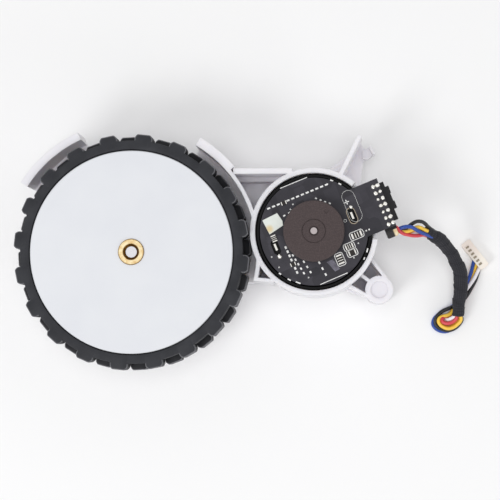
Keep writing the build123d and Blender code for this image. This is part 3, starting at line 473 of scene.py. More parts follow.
# %% Cloth tape finish
yarns_per_mm = 3.0
tape_finish, tree, shader, place = new_finish("cloth_tape_woven_black")
tape_map = add_node(tree, "UVMap", uv_map="along_and_round")
threads = {"Vector": tape_map, "Scale": yarns_per_mm / mm / 20 * math.pi, "Distortion": 0.6}
warp, weft = (add_node(tree, "TexWave", threads, bands_direction=axis).outputs["Fac"] for axis in "XY")
weave = add_node(tree, "Math", {0: warp, 1: weft}, operation="MULTIPLY")
lint = add_node(tree, "TexNoise", {"Vector": place, "Scale": 500.0, "Detail": 6.0})
shade = add_node(tree, "Math", {0: weave, 1: lint}, operation="MULTIPLY")
cloth = fade(tree, shade, 0.0, 0.6, colour("2A2A2E"), colour("3E3E44"))
relief = add_node(tree, "Bump", {"Height": shade, "Strength": 0.5, "Distance": 0.05 * mm})
set_inputs(shader, {"Base Color": cloth, "Normal": relief, "Roughness": 0.85})
set_inputs(shader, {"Specular IOR Level": 0.2, "Sheen Weight": 0.06, "Sheen Roughness": 0.5})

sleeve = mesh_object("tape_sleeve", corners, faces, tape_finish, smooth=True)
uv_layer = sleeve.data.uv_layers.new(name="along_and_round")
row_length = sleeve_length / (len(sleeve_line) - 1)
for polygon in sleeve.data.polygons:
    loops = list(polygon.loop_indices)
    steps = [sleeve.data.loops[loop].vertex_index for loop in loops]
    for loop, vertex in zip(loops, steps):
        row, step = divmod(min(vertex, cap - 1), around)
        over_seam = step == 0 and any(v % around == around - 1 for v in steps)
        turned = around if over_seam else step
        uv_layer.data[loop].uv = (row * row_length, turned / around * 2 * math.pi * sleeve_radius)
print("weave", yarns_per_mm, "yarns to the millimetre")

# %% [markdown]
# ## Moulded plastics
#
# The body is ABS moulded in an eroded steel tool. Such a tool leaves a fine, even grain about a tenth of
# a millimetre across, and the plastic flows a little unevenly, so its gloss drifts slowly from place to
# place. Every moulded edge has a small radius, and it is the light along these edges that makes the
# moulding look real. The edge radius is given to the shader, which rounds the normals near an edge. The
# small plug under the board is cream, and where it lies beneath the tab its tint is painted black: painted
# shade.
# A little daylight passes through the thin white walls of the body, which lightens its deep pockets.


# %% Moulded plastic finish
def moulded_plastic(name, light, dark, rough, grain=0.35, depth=0.02, edge=0.2, drift=14.0, shine=0.5):
    """ABS, acetal or nylon from a mould: grain in mm, its depth, and the edge radius in mm."""
    material, tree, shader, place = new_finish(name)
    slow = add_node(tree, "TexNoise", {"Vector": place, "Scale": 1 / (drift * mm), "Detail": 3.0})
    tint = fade(tree, slow, 0.3, 0.7, colour(dark), colour(light))
    grains = add_node(tree, "TexNoise", {"Vector": place, "Scale": 1 / (grain * mm), "Detail": 2.0})
    rounded = add_node(tree, "Bevel", {"Radius": edge * mm}, samples=4)
    relief = {"Height": grains, "Normal": rounded, "Strength": 0.5, "Distance": depth * mm}
    dress(tree, shader, tint, slow, rough, 0.08, relief, {"IOR": 1.52, "Specular IOR Level": shine})
    return material


plastics = {
    "body": moulded_plastic("abs_moulded_white", "ECEAEE", "E6E4E9", 0.42, edge=0.25),
    "disc": moulded_plastic("abs_fine_grained_disc", "E0E2E6", "DCDEE3", 0.5, grain=0.3, depth=0.03),
    "hub": moulded_plastic("glass_filled_nylon_black", "2A2A2D", "1F1F22", 0.5),
    "gear": moulded_plastic("acetal_natural_white", "EBE7DC", "E2DDD0", 0.35, edge=0.1),
    "header": moulded_plastic("lcp_connector_black", "1A191B", "111012", 0.35, edge=0.1, shine=0.3),
    "cap": moulded_plastic("nylon_end_cap_black", "161618", "0F0F10", 0.5, edge=0.15, shine=0.2),
    "plug": moulded_plastic("nylon_plug_cream", "F6F0E4", "F3E4DA", 0.4, edge=0.12, drift=5.0),
    "socket": moulded_plastic("nylon_plug_yellowed", "F3E6C8", "D9BE8C", 0.4, edge=0.12, drift=1.2),
}
shader = plastics["body"].node_tree.nodes["Principled BSDF"]
glow_depth = 3.0 * mm
glow = {"Subsurface Weight": 0.8, "Subsurface Radius": (1.0, 0.95, 0.9), "Subsurface Scale": glow_depth}
set_inputs(shader, glow)

tab_angle = math.radians(22.5)
# Where the plug lies beneath the tab its tint is painted near black: painted shade under the tab.
painted_shade_ends, cream_starts = 10.2 * mm, 10.6 * mm
tree, shader, place = open_finish(plastics["socket"])
cream = shader.inputs["Base Color"].links[0].from_socket
along_tab = add_node(tree, "Mapping", {"Vector": place, "Rotation": (0, 0, -tab_angle)})
reach = add_node(tree, "SeparateXYZ", {0: along_tab})
set_inputs(shader, {"Base Color": fade(tree, reach, painted_shade_ends, cream_starts, colour("1C1A1A"), cream)})
print("plastics:", ", ".join(plastics))

# %% [markdown]
# ## Rubber and bonded magnet
#
# The tyre is a soft thermoplastic rubber with a matte, slightly dusty skin. Its edges carry a painted
# highlight, and the far row of lugs is darkened with painted shade. The band round the motor is a smooth,
# shiny ring. The magnet disc is magnet powder in a dark brown resin: from close by it shows fine specks
# and the faint circles of a turned face, and a dark collar where it sits on the shaft.

# %% Rubber and magnet finishes
motor_at = Vector((-19.6, 17.0, 0)) * mm
wheel_at = Vector((-74.0, 10.8, 0)) * mm
band_radius = 33.3
tyre_radius = 35.3
tyre_middle = 24.0


def reach_from(tree, place, centre):
    """Distance of a point from an axis along Z through the centre."""
    moved = add_node(tree, "Mapping", {"Vector": place, "Location": -centre})
    flat = add_node(tree, "VectorMath", {0: moved, 1: (1.0, 1.0, 0.0)}, operation="MULTIPLY")
    return add_node(tree, "VectorMath", {0: flat}, operation="LENGTH")


def turned_circles(tree, reach, spacing):
    """Circles that a lathe tool leaves, spacing in mm, as a wave between -1 and 1."""
    per_metre = 2 * math.pi / (spacing * mm)
    phase = add_node(tree, "Math", {0: reach, 1: per_metre}, operation="MULTIPLY")
    return add_node(tree, "Math", {0: phase}, operation="SINE")


def rubber(name, light, dark, rough, grain, depth, shine=0.3):
    """Moulded rubber: mottled skin with a fine pitted surface, grain and depth in mm."""
    material, tree, shader, place = new_finish(name)
    dust = add_node(tree, "TexNoise", {"Vector": place, "Scale": 160.0, "Detail": 5.0})
    tint = fade(tree, dust, 0.35, 0.7, colour(dark), colour(light))
    pits = add_node(tree, "TexNoise", {"Vector": place, "Scale": 1 / (grain * mm), "Detail": 4.0})
    relief = {"Height": pits, "Strength": 0.6, "Distance": depth * mm}
    dress(tree, shader, tint, pits, rough, 0.1, relief, {"IOR": 1.5, "Specular IOR Level": shine})
    return material


tyre_finish = rubber("tpe_tyre_matte", "333438", "26272B", 0.62, 0.5, 0.06)
band_finish = rubber("silicone_band_glossy", "0A0A0B", "070708", 0.25, 2.0, 0.01, shine=0.2)
ferrite_finish = rubber("ferrite_sintered_grey", "3A3A3C", "2C2C2E", 0.6, 0.4, 0.04)

# Painted highlights lighten the small faces that slant, and the tips of the lugs, both outside the band.
tree, shader, place = open_finish(tyre_finish)
dusty = shader.inputs["Base Color"].links[0].from_socket
reach = reach_from(tree, place, wheel_at)
normal = add_node(tree, "NewGeometry").outputs["True Normal"]
upward = add_node(tree, "SeparateXYZ", {0: normal}).outputs["Z"]
height = add_node(tree, "SeparateXYZ", {0: place}).outputs["Z"]
on_lug, not_upright, not_flat, at_tip = (
    add_node(tree, "MapRange", {"Value": measure, "From Min": start, "From Max": end, "To Max": most})
    for measure, start, end, most in (
        (reach, band_radius * mm, (band_radius + 0.2) * mm, 1.0),
        (upward, 0.1, 0.4, 1.0),
        (upward, 0.97, 0.85, 1.0),
        (reach, (tyre_radius - 0.3) * mm, (tyre_radius - 0.1) * mm, 0.45),
    )
)
slanted = add_node(tree, "Math", {0: not_upright, 1: not_flat}, operation="MULTIPLY")
painted_edge_highlight = add_node(tree, "Math", {0: slanted, 1: at_tip}, operation="MAXIMUM")
highlight_share = add_node(tree, "Math", {0: painted_edge_highlight, 1: on_lug}, operation="MULTIPLY")
# Below the tyre's middle the far row of lugs is darkened towards near black: painted shade.
row_ends, row_starts = (tyre_middle - 0.2) * mm, (tyre_middle + 0.6) * mm
tint_so_far = fade(tree, height, row_ends, row_starts, dusty, colour("101012"), shares=(0.65, 0.0))
set_inputs(shader, {"Base Color": fade(tree, highlight_share, 0.0, 1.0, tint_so_far, colour("7C7C80"))})

magnet_finish, tree, shader, place = new_finish("bonded_ferrite_brown")
reach = reach_from(tree, place, motor_at)
specks = add_node(tree, "TexNoise", {"Vector": place, "Scale": 3200.0, "Detail": 3.0})
resin = fade(tree, specks, 0.4, 0.75, colour("433A3A"), colour("524747"))
collared = fade(tree, reach, 1.15 * mm, 1.6 * mm, colour("241B1B"), resin)
rounded = add_node(tree, "Bevel", {"Radius": 0.15 * mm}, samples=4)
relief = {"Height": turned_circles(tree, reach, 0.5), "Strength": 0.15, "Distance": 0.01 * mm}
bump = add_node(tree, "Bump", {"Normal": rounded, **relief})
set_inputs(shader, {"Base Color": collared, "Normal": bump, "Roughness": 0.5, "Specular IOR Level": 0.25})
print("rubber and magnet ready")

# %% [markdown]
# ## Metals
#
# The brass insert and the pinion were turned on a lathe, so their faces carry fine circles. The bore below
# the insert's face is painted dark brown, painted shade in the bore with some old oil; the face carries
# pale painted highlights, and a dark ring at its rim is a painted shadow in the gap to the disc. Screws and
# pins are steel, the motor can is drawn steel with a dull zinc skin, and solder is bright tin that froze in
# small domes. Metals keep the default index of refraction.


# %% Metal finishes
def metal(name, code, rough, scratch=0.4, depth=0.01):
    """Bare or plated metal with faint scratches: spacing and depth in mm."""
    material, tree, shader, place = new_finish(name)
    stretched = add_node(tree, "Mapping", {"Vector": place, "Scale": (1.0, 1.0, 0.15)})
    lines = add_node(tree, "TexNoise", {"Vector": stretched, "Scale": 1 / (scratch * mm), "Detail": 4.0})
    relief = {"Height": lines, "Strength": 0.4, "Distance": depth * mm}
    dress(tree, shader, colour(code), lines, rough, 0.1, relief, {"Metallic": 1.0})
    return material


metals = {
    "screw": metal("steel_zinc_plated", "B8B9BC", 0.35),
    "pin": metal("steel_ground_bright", "C9CACC", 0.22),
    "nose": metal("steel_polished_shaft_end", "E6E5E9", 0.3),
    "shaft": metal("steel_motor_shaft", "BDB4B4", 0.35, scratch=0.3, depth=0.06),
    "can": metal("steel_drawn_can", "9A9BA0", 0.4, scratch=0.8),
    "solder": metal("solder_bright_tin", "F0EEE8", 0.25, scratch=0.4, depth=0.12),
    "contact": metal("phosphor_bronze_tinned", "A89C8A", 0.4),
    "bush": metal("bronze_sintered", "8A6A45", 0.5, scratch=0.3),
    "iron": metal("iron_laminated_core", "6F6A66", 0.5),
}

brass_finish, tree, shader, place = new_finish("brass_turned")
reach = reach_from(tree, place, wheel_at)
# The pale patches of the face tone are painted highlights, mottled by this noise together with the tarnish.
tarnish_and_highlight = add_node(tree, "TexNoise", {"Vector": place, "Scale": 900.0, "Detail": 4.0})
face_tone = fade(tree, tarnish_and_highlight, 0.35, 0.65, colour("E6C48A"), colour("FFEFC4"))
# Inside the bore the tint is painted dark brown: painted shade in the recess, with some old oil.
bore_shade_tone = fade(tree, tarnish_and_highlight, 0.0, 1.0, colour("2E1A04"), colour("8A6024"))
shaded_bore = fade(tree, reach, 2.32 * mm, 2.5 * mm, bore_shade_tone, face_tone)
# A darker ring at the insert's rim is a painted shadow in the gap between the insert and the disc.
rim_gap_shadow = fade(tree, reach, 3.62 * mm, 3.78 * mm, shaded_bore, colour("9C7A45"))
relief = {"Height": turned_circles(tree, reach, 0.35), "Strength": 0.25, "Distance": 0.02 * mm}
bump = add_node(tree, "Bump", relief)
set_inputs(shader, {"Base Color": rim_gap_shadow, "Normal": bump, "Metallic": 1.0, "Roughness": 0.36})
print("metals:", ", ".join(metals), "and brass")

# %% [markdown]
# ## Circuit board
#
# The board is glass-fibre laminate under black solder mask, a smooth semi-gloss lacquer. Broad copper
# areas lie under the mask, and they show as slightly lighter, slightly raised fields with cut corners.
# Their edges run along the board's own axes, which are turned by 22.5 degrees.

# %% Solder mask finish
mask_finish, tree, shader, place = new_finish("solder_mask_black")
board_axes = add_node(tree, "Mapping", {"Vector": place, "Rotation": (0, 0, -tab_angle)})
cells = {"Vector": board_axes, "Scale": 230.0, "Randomness": 0.7}
fields = add_node(tree, "TexVoronoi", cells, distance="CHEBYCHEV")
field_tone = add_node(tree, "SeparateColor", {0: fields.outputs["Color"]})
cloud = add_node(tree, "TexNoise", {"Vector": place, "Scale": 260.0, "Detail": 4.0})
copper = add_node(tree, "Math", {0: field_tone, 1: cloud}, operation="MULTIPLY")
mask_tone = fade(tree, copper, 0.0, 1.0, colour("29282D"), colour("47454C"))
bump = add_node(tree, "Bump", {"Height": copper, "Strength": 0.3, "Distance": 0.04 * mm})
set_inputs(shader, {"Base Color": mask_tone, "Normal": bump, "Roughness": 0.42, "Specular IOR Level": 0.3})

ink_finish = moulded_plastic("silkscreen_ink_white", "F8F8F6", "D2D2D0", 0.6, 0.3, edge=0.02, drift=0.8)
chip_finish = moulded_plastic("chip_ceramic_dark", "2B2724", "1C1917", 0.4, edge=0.05, shine=0.3)
# A lilac-grey tint that stands for a sheen on the mask: a painted reflection.
reflection_patch_finish = moulded_plastic("painted_reflection_on_mask", "75727F", "4B4953", 0.35, 0.5, edge=0.02, drift=1.2)
print("board finish ready")

# %% [markdown]
# ## Foam pad
#
# A white adhesive foam pad sits on the board. It is a matte, slightly green white, and its glue has
# yellowed one corner. The stain is a soft round patch about its own centre.

# %% Foam pad finish
pad_finish = moulded_plastic("foam_pad_white", "E6EAE3", "DBE0DA", 0.75, grain=0.5, depth=0.05, drift=4.0)
tree, shader, place = open_finish(pad_finish)
tint_so_far = shader.inputs["Base Color"].links[0].from_socket
stain_centre = Vector((-32.9, 17.7, 29.8)) * mm
from_stain = add_node(tree, "VectorMath", {0: place, 1: stain_centre}, operation="DISTANCE")
stained = fade(tree, from_stain, 0.6 * mm, 1.6 * mm, tint_so_far, colour("DCC592"), shares=(0.85, 0.0))
set_inputs(shader, {"Base Color": stained})
print("pad finish ready")

# %% [markdown]
# ## Giving each CAD part its finish
#
# A table pairs every part of the frame with its material. The parts keep their shapes: only the slot
# of each object changes.

# %% Assign finishes
finish_of = {
    plastics["body"]: "main_housing rear_cover",
    plastics["disc"]: "hub_disc",
    plastics["hub"]: "wheel_hub",
    plastics["gear"]: "gear_1 gear_2 gear_3 output_gear",
    plastics["header"]: "board_header",
    plastics["cap"]: "motor_end_cap",
    plastics["plug"]: "plug_housing",
    plastics["socket"]: "board_plug",
    pad_finish: "white_pad",
    tyre_finish: "tyre",
    band_finish: "motor_band",
    magnet_finish: "encoder_magnet",
    ferrite_finish: "field_magnets",
    brass_finish: "hub_insert motor_pinion",
    metals["screw"]: "cover_screws motor_screws",
    metals["pin"]: "gear_pin_1 gear_pin_2 gear_pin_3 shaft_washer",
    metals["nose"]: "output_shaft",
    metals["shaft"]: "motor_shaft",
    metals["can"]: "motor_can",
    metals["solder"]: "solder_joints motor_terminals",
    metals["contact"]: "plug_contacts",
    metals["bush"]: "shaft_bearing_front shaft_bearing_rear",
    metals["iron"]: "armature",
    mask_finish: "control_board",
    chip_finish: "board_chips",
    tape_finish: "harness_sleeve",
}
for name, material in wire_finishes.items():
    finish_of[material] = f"wire_{name}"
finished = set()
for material, names in finish_of.items():
    for name in names.split():
        part = nodes[name]
        part.data.materials.clear()
        part.data.materials.append(material)
        finished.add(name)
print("finished parts:", len(finished), "of", len(nodes), "left:", sorted(set(nodes) - finished))

# %% [markdown]
# ## Geometry Nodes for what repeats
#
# The tyre carries forty lugs of one outline and the board sixteen solder joints. Both come from one small
# network: it takes the corners of a mesh as places, puts a copy of a prototype at each, and turns and
# scales each copy a little differently. The result is turned into a plain mesh, so that nothing is left
# to compute afterwards.

# %% Copies of a prototype
copies = bpy.data.node_groups.new("copies_of_a_prototype", "GeometryNodeTree")
for name, kind in (
    ("Places", "Geometry"),
    ("Prototype", "Object"),
    ("Material", "Material"),
    ("First Turn", "Float"),
    ("Turn Step", "Float"),
    ("Smallest", "Float"),
    ("Largest", "Float"),
    ("Seed", "Int"),
):
    copies.interface.new_socket(name, in_out="INPUT", socket_type=f"NodeSocket{kind}")
copies.interface.new_socket("Copies", in_out="OUTPUT", socket_type="NodeSocketGeometry")
given = copies.nodes.new("NodeGroupInput").outputs
number = add_node(copies, "GeometryNodeInputIndex")
steps = {0: number, 1: given["Turn Step"], 2: given["First Turn"]}
turned = add_node(copies, "Math", steps, operation="MULTIPLY_ADD")
turn = add_node(copies, "CombineXYZ", {"Z": turned})
limits = {"Min": given["Smallest"], "Max": given["Largest"], "Seed": given["Seed"]}
size = add_node(copies, "FunctionNodeRandomValue", limits, data_type="FLOAT")
pattern = add_node(copies, "GeometryNodeObjectInfo", {"Object": given["Prototype"]})
points = add_node(copies, "GeometryNodeMeshToPoints", {"Mesh": given["Places"]})
placing = {"Points": points, "Instance": pattern.outputs["Geometry"], "Rotation": turn, "Scale": size}
placed = add_node(copies, "GeometryNodeInstanceOnPoints", placing)
real = add_node(copies, "GeometryNodeRealizeInstances", {0: placed})
dressed = add_node(copies, "GeometryNodeSetMaterial", {"Geometry": real, "Material": given["Material"]})
set_inputs(copies.nodes.new("NodeGroupOutput"), {0: dressed})


def scatter(name, places, prototype, material, first_turn=0.0, turn_step=0.0, sizes=(1.0, 1.0), seed=1):
    """A plain mesh object with a copy of the prototype at each place, in metres."""
    holder = mesh_object(name, places, [], material)
    modifier = holder.modifiers.new("copies", "NODES")
    modifier.node_group = copies
    values = [prototype, material, first_turn, turn_step, *sizes, seed]
    inputs = [socket for socket in copies.interface.items_tree if socket.in_out == "INPUT"]
    for socket, value in zip(inputs[1:], values):
        modifier[socket.identifier] = value
    mesh = plain_mesh(holder)
    holder.modifiers.clear()
    holder.data = mesh
    bpy.data.objects.remove(prototype)
    return holder


print("network nodes:", len(copies.nodes))

# %% [markdown]
# ## Tyre
#
# The tyre is a band with two staggered rows of twenty lugs. The lugs of the near row end flush with the
# tyre's face. In the mould every edge gets a radius, and on black rubber only the light along those
# edges shows the shape, so the prototype's edges are really bevelled. The band is one profile turned
# about the wheel's axis.

# %% Lugs and band
band_inner_radius = 30.6
lug_root_radius = 31.7
lug_edge_radius = 0.32 * mm
tyre_bottom, tyre_top = 15.5, 32.5
band_top = tyre_top - 0.02
lugs_in_row = 20


def round_axis(reach, angle, level):
    """A point in metres from its distance to an upright axis, its angle, and its height, in mm."""
    return Vector((reach * math.cos(angle), reach * math.sin(angle), level)) * mm


def lug_prototype(name, low, high):
    """One lug with cut corners and rounded edges, at angle zero about the origin's vertical axis."""
    half_outline = [(lug_root_radius, 4.75), (tyre_radius - 0.9, 4.45), (tyre_radius, 3.2)]
    outline = [(reach, -angle) for reach, angle in half_outline]
    outline += [(reach, angle) for reach, angle in reversed(half_outline)]
    corners = []
    for level in (low, high):
        corners += [round_axis(reach, math.radians(angle), level) for reach, angle in outline]
    count = len(outline)
    faces = [tuple(reversed(range(count))), tuple(range(count, 2 * count)), *ring_faces(2, count)]
    made = mesh_object(name, corners, faces, tyre_finish, smooth=True)
    shape = bmesh.new()
    shape.from_mesh(made.data)
    past_root = (lug_root_radius + 0.1) * mm
    outer = [edge for edge in shape.edges if any(end.co.xy.length > past_root for end in edge.verts)]
    bmesh.ops.bevel(shape, geom=outer, offset=lug_edge_radius, segments=2, profile=0.5, affect="EDGES")
    bmesh.ops.recalc_face_normals(shape, faces=shape.faces)
    shape.to_mesh(made.data)
    shape.free()
    return made


lug_rows = [
    scatter(
        f"lugs_{name}",
        [tuple(wheel_at)] * lugs_in_row,
        lug_prototype(f"{name}_lug", low, high),
        tyre_finish,
        first_turn=math.radians(first_degrees),
        turn_step=2 * math.pi / lugs_in_row,
    )
    for name, low, high, first_degrees in (
        ("near", tyre_middle - 0.3, tyre_top, 12.0),
        ("far", tyre_bottom, tyre_middle, 3.0),
    )
]
band_profile = [
    (band_inner_radius, tyre_bottom),
    (band_radius - 0.4, tyre_bottom),
    (band_radius, tyre_bottom + 0.4),
    (band_radius, band_top - 0.3),
    (band_radius - 0.09, band_top - 0.09),
    (band_radius - 0.3, band_top),
    (band_inner_radius + 0.5, band_top),
    (band_inner_radius + 0.15, band_top - 0.12),
    (band_inner_radius, band_top - 0.45),
]
turns = 160
corners = []
for turn in range(turns):
    angle = 2 * math.pi * turn / turns
    corners += [wheel_at + round_axis(reach, angle, level) for reach, level in band_profile]
inward = ring_faces(turns, len(band_profile), closed=True)
outward = [face[::-1] for face in inward]
band = mesh_object("tyre_tread", corners, outward, tyre_finish, smooth=True)
shape = bmesh.new()
shape.from_mesh(band.data)
for row in lug_rows:
    shape.from_mesh(row.data)
    bpy.data.objects.remove(row)
shape.to_mesh(band.data)
shape.free()
band.data.polygons.foreach_set("use_smooth", [True] * len(band.data.polygons))
band.data.set_sharp_from_angle(angle=math.radians(35))
print("tyre faces:", len(band.data.polygons))

# %% [markdown]
# ## Solder joints
#
# The connector's pins come up through the board in two rows of seven, and each ends in a dome of bright
# solder. The domes were set by hand, so they differ in size and turn. The prototype is a low lump that
# is a little lopsided. Two more joints hold the motor's terminals.

# %% Solder domes
board_top = 29.8
dome = mesh_object("dome", [], [], metals["solder"])
shape = bmesh.new()
bmesh.ops.create_icosphere(shape, subdivisions=2, radius=0.72 * mm)
for corner in shape.verts:
    bulge = 1.0 + 0.16 * math.sin(corner.co.x * 6000 + 1.0) * math.cos(corner.co.y * 5000)
    corner.co = Vector((corner.co.x * bulge, corner.co.y * bulge * 0.9, corner.co.z * 0.9 + 0.05 * mm))
shape.to_mesh(dome.data)
shape.free()


def axes(turn):
    """Unit vectors in plan: along a direction, and to its left."""
    return Vector((math.cos(turn), math.sin(turn), 0)), Vector((-math.sin(turn), math.cos(turn), 0))


def on_board(along, aside):
    """A point in metres from the board's own axes in mm: along its tab, and to the left of it."""
    across, upward = axes(tab_angle)
    return motor_at + (across * along + upward * aside) * mm + Vector((0, 0, board_top * mm))


terminal_at = on_board(12.3, 0.0)
joint_places = [on_board(12.9, 2.5), on_board(-12.3, -2.9)]
for row in (22.7, 21.25):
    joint_places += [on_board(row, (column - 3) * 2.0 - 0.5) for column in range(7)]
joints = scatter(
    "solder_domes", joint_places, dome, metals["solder"], turn_step=2.4, sizes=(0.72, 1.22), seed=5
)
joints.data.polygons.foreach_set("use_smooth", [True] * len(joints.data.polygons))
print("solder joints:", len(joint_places))

# %% [markdown]
# ## Chips and their solder ends
#
# The small parts on the board are ceramic chips: a dark body between bright tinned ends, with a bright
# stripe in the middle of the larger ones, which are two parts side by side. The ends are boxes, drawn
# in the board's own axes.

# %% Chips
box_faces = ((3, 2, 1, 0), (4, 5, 6, 7), (0, 1, 5, 4), (1, 2, 6, 5), (2, 3, 7, 6), (3, 0, 4, 7))


def box(corners, faces, centre, half_length, half_width, rise, turn):
    """Add a box that stands on the board to the lists: centre in metres in plan, the rest in mm."""
    first = len(corners)
    across, upward = axes(turn)
    for level in (board_top, board_top + rise):
        for left, up in ((-1, -1), (1, -1), (1, 1), (-1, 1)):
            corner = centre + (across * half_length * left + upward * half_width * up) * mm
            corners.append(Vector((corner.x, corner.y, level * mm)))
    faces += [tuple(first + corner for corner in face) for face in box_faces]


# Each chip: place in plan, length and width in mm, turn on the board in degrees, and whether it is double.
chips = [
    (-6.9, 16.0, 3.2, 1.6, 0.0, True),
    (-9.1, 12.5, 2.4, 1.4, 0.0, True),
    (-8.2, 10.7, 2.2, 1.4, 0.0, False),
    (-11.8, 8.7, 2.9, 1.7, -90.0, True),
    (-25.8, 7.2, 1.6, 1.0, 0.0, False),
    (-28.6, 25.5, 1.6, 1.0, 0.0, False),
    (-31.5, 14.9, 2.0, 1.4, -90.0, True),
]
body_corners, body_faces, end_corners, end_faces = [], [], [], []
for x, y, length, width, degrees, double in chips:
    centre = Vector((x, y, 0)) * mm
    turn = tab_angle + math.radians(degrees)
    across = axes(turn)[0] * mm
    half_end = width / 2 + 0.03
    box(body_corners, body_faces, centre, length * 0.33, width / 2, 0.5, turn)
    for side in (-1, 1):
        end = centre + across * side * length * 0.42
        box(end_corners, end_faces, end, length * 0.08, half_end, 0.46, turn)
    for side in (-1, 1) if double else ():
        stripe = centre + across * side * length * 0.13
        box(end_corners, end_faces, stripe, length * 0.035, half_end, 0.52, turn)
chip_bodies = mesh_object("chip_bodies", body_corners, body_faces, chip_finish)
chip_ends = mesh_object("chip_ends", end_corners, end_faces, metals["solder"])
print("chips:", len(chips))

# %% [markdown]
# ## Printed marks
#
# The silkscreen is a thin white ink layer. Only plain marks are drawn: two lines near the rim, dashes at
# the rim, outlines round four chips and the terminal, a plus sign, and rows of short plain bars where the
# board carries its print. Each mark is a flat ribbon that follows a list of points.

# %% Silkscreen ribbons
ink_corners, ink_faces = [], []
ink_top = board_top + 0.03


def ribbon(points, width, closed=False):
    """Add a flat ribbon of ink along plan points in mm."""
    line = [Vector((x, y, 0)) for x, y in points]
    count = len(line)
    first = len(ink_corners)
    for index, point in enumerate(line):
        before = line[index - 1] if closed or index else point
        after = line[(index + 1) % count] if closed or index < count - 1 else point
        along = (after - before).normalized()
        side = Vector((-along.y, along.x, 0)) * width / 2
        for corner in (point - side, point + side):
            ink_corners.append(Vector((corner.x, corner.y, ink_top)) * mm)
    for index in range(count if closed else count - 1):
        here = first + 2 * index
        there = first + 2 * ((index + 1) % count)
        ink_faces.append((here, there, there + 1, here + 1))


def rounded_outline(x, y, half_length, half_width, turn, corner):
    """Points of a rectangle with round corners, or an oval when the corner is as large as its side."""
    across, upward = axes(turn)
    points = []
    for quarter, sign_x, sign_y in ((0, 1, 1), (1, -1, 1), (2, -1, -1), (3, 1, -1)):
        for step in range(6):
            angle = math.radians(quarter * 90 + step * 18)
            point = across * (sign_x * (half_length - corner) + corner * math.cos(angle))
            point += upward * (sign_y * (half_width - corner) + corner * math.sin(angle))
            points.append((x + point.x, y + point.y))
    return points


rim_lines = [((-29.7, 29.9), (-21.7, 33.2)), ((-17.7, 1.2), (-9.6, 4.7))]
rim_dashes = [
    ((-14.8, 32.4), (-13.9, 32.1)), ((-12.3, 31.4), (-11.5, 31.0)), ((-3.9, 10.8), (-3.6, 12.0)),
    ((-4.8, 8.6), (-4.5, 9.3)), ((-30.0, 4.6), (-29.4, 4.2)), ((-27.4, 2.9), (-26.5, 2.4)),
    ((-25.0, 2.0), (-23.6, 1.5)),
]
for strokes, width in ((rim_lines, 0.22), (rim_dashes, 0.38)):
    for stroke in strokes:
        ribbon(stroke, width)
outlined_chips = chips[:4]
for x, y, length, width, degrees, _ in outlined_chips:
    turn = tab_angle + math.radians(degrees)
    ribbon(rounded_outline(x, y, length / 2 + 0.5, width / 2 + 0.38, turn, 0.6), 0.2, closed=True)
across_tab = tab_angle - math.pi / 2
ribbon(rounded_outline(-8.3, 24.6, 4.9, 1.9, across_tab, 1.85), 0.07, closed=True)
ribbon(rounded_outline(-10.3, 20.2, 0.4, 0.4, 0.0, 0.38), 0.1, closed=True)
plus_x, plus_y = -9.9, 25.75
for turn in (tab_angle, across_tab):
    arm = axes(turn)[0] * 0.75
    ribbon([(plus_x - arm.x, plus_y - arm.y), (plus_x + arm.x, plus_y + arm.y)], 0.26)

# Each row of bars: where it starts and ends, how many bars, their length and their width.
bar_rows = [
    ((-33.1, 23.9), (-15.9, 31.0), 13, 0.95, 0.5),
    ((-29.9, 20.9), (-27.0, 22.6), 3, 0.7, 0.4),
    ((-19.0, 26.9), (-14.9, 25.4), 4, 0.6, 0.4),
    ((-28.0, 12.2), (-24.6, 4.8), 7, 0.8, 0.6),
    ((-25.9, 9.9), (-22.6, 4.6), 5, 0.7, 0.5),
    ((-22.6, 8.0), (-20.6, 4.9), 3, 0.7, 0.5),
    ((-18.0, 7.7), (-16.1, 4.2), 3, 0.8, 0.5),
    ((-4.9, 16.9), (-3.2, 17.6), 3, 0.4, 0.45),
]
for start, end, count, length, width in bar_rows:
    start, end = Vector(start), Vector(end)
    half_bar = (end - start).normalized() * length / 2
    for bar in range(count):
        middle = start.lerp(end, bar / (count - 1))
        ribbon([tuple(middle - half_bar), tuple(middle + half_bar)], width)
dots = ((-25.9, 25.1), (-26.6, 23.6), (-32.2, 9.4), (-21.2, 3.3), (-30.0, 6.3), (-6.4, 13.5), (-7.7, 9.2))
for x, y in dots:
    ribbon(rounded_outline(x, y, 0.16, 0.16, 0.0, 0.15), 0.12, closed=True)
marks = mesh_object("silkscreen_marks", ink_corners, ink_faces, ink_finish)
print("ink ribbons:", len(ink_faces), "faces")
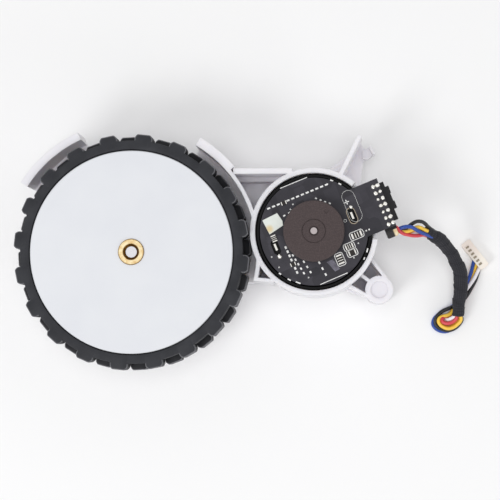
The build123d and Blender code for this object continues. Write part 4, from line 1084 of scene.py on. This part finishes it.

# %% [markdown]
# ## Terminal pads and the painted reflection patch
#
# Round the terminal slot the copper is bare and tinned, a narrow bright ring. Near the lower chips a
# lilac-grey patch is a painted reflection, a sheen on the mask drawn as colour. Both are flat shapes a few
# hundredths of a millimetre thick.

# %% Pads and patch
x, y = terminal_at.x / mm, terminal_at.y / mm
inner = rounded_outline(x, y, 2.35, 1.15, across_tab, 1.14)
outer = rounded_outline(x, y, 2.58, 1.36, across_tab, 1.34)
pad_corners, pad_faces = [], []
for (inner_x, inner_y), (outer_x, outer_y) in zip(inner, outer):
    pad_corners.append(Vector((inner_x, inner_y, board_top + 0.04)) * mm)
    pad_corners.append(Vector((outer_x, outer_y, board_top + 0.02)) * mm)
for index in range(len(inner)):
    here, there = 2 * index, 2 * ((index + 1) % len(inner))
    pad_faces.append((here, here + 1, there + 1, there))
terminal_pads = mesh_object("terminal_pads", pad_corners, pad_faces, metals["contact"])

patch_outline = ((-15.8, 7.9), (-14.0, 8.7), (-11.8, 5.9), (-13.3, 5.1))
patch_corners = [
    Vector((x, y, level)) * mm for level in (board_top, board_top + 0.02) for x, y in patch_outline
]
patch_faces = [(4, 7, 6, 5), (0, 3, 7, 4), (3, 2, 6, 7), (2, 1, 5, 6), (1, 0, 4, 5)]
painted_reflection_patch = mesh_object("thin_mask_patch", patch_corners, patch_faces, reflection_patch_finish)
print("pads and patch ready")

# %% [markdown]
# ## Joining the new pieces to the frame
#
# Every new piece rides with the body that it sits on, and names the CAD part that it takes the place
# of. Each wire rides with the housing, and the plain CAD wire that it replaces is hidden.

# %% Pieces and cords
for piece, body, replaced, slot in (
    (band, "wheel", "tyre", "tyre_rubber"),
    (joints, "housing", "solder_joints", "solder_tin"),
    (chip_bodies, "housing", "board_chips", "chip_ceramic"),
    (sleeve, "housing", "harness_sleeve", "sleeve_cloth"),
    (chip_ends, "housing", None, "solder_tin"),
    (terminal_pads, "housing", None, "solder_tin"),
    (marks, "housing", None, "board_laminate"),
    (painted_reflection_patch, "housing", None, "board_laminate"),
):
    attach(piece, body)
    if replaced:
        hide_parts(replaced)

for name, wire in cord_pieces.items():
    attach(wire, "housing")
    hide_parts(f"wire_{name}")
    points = line_of(wire)
print("cords declared:", len(cord_pieces))
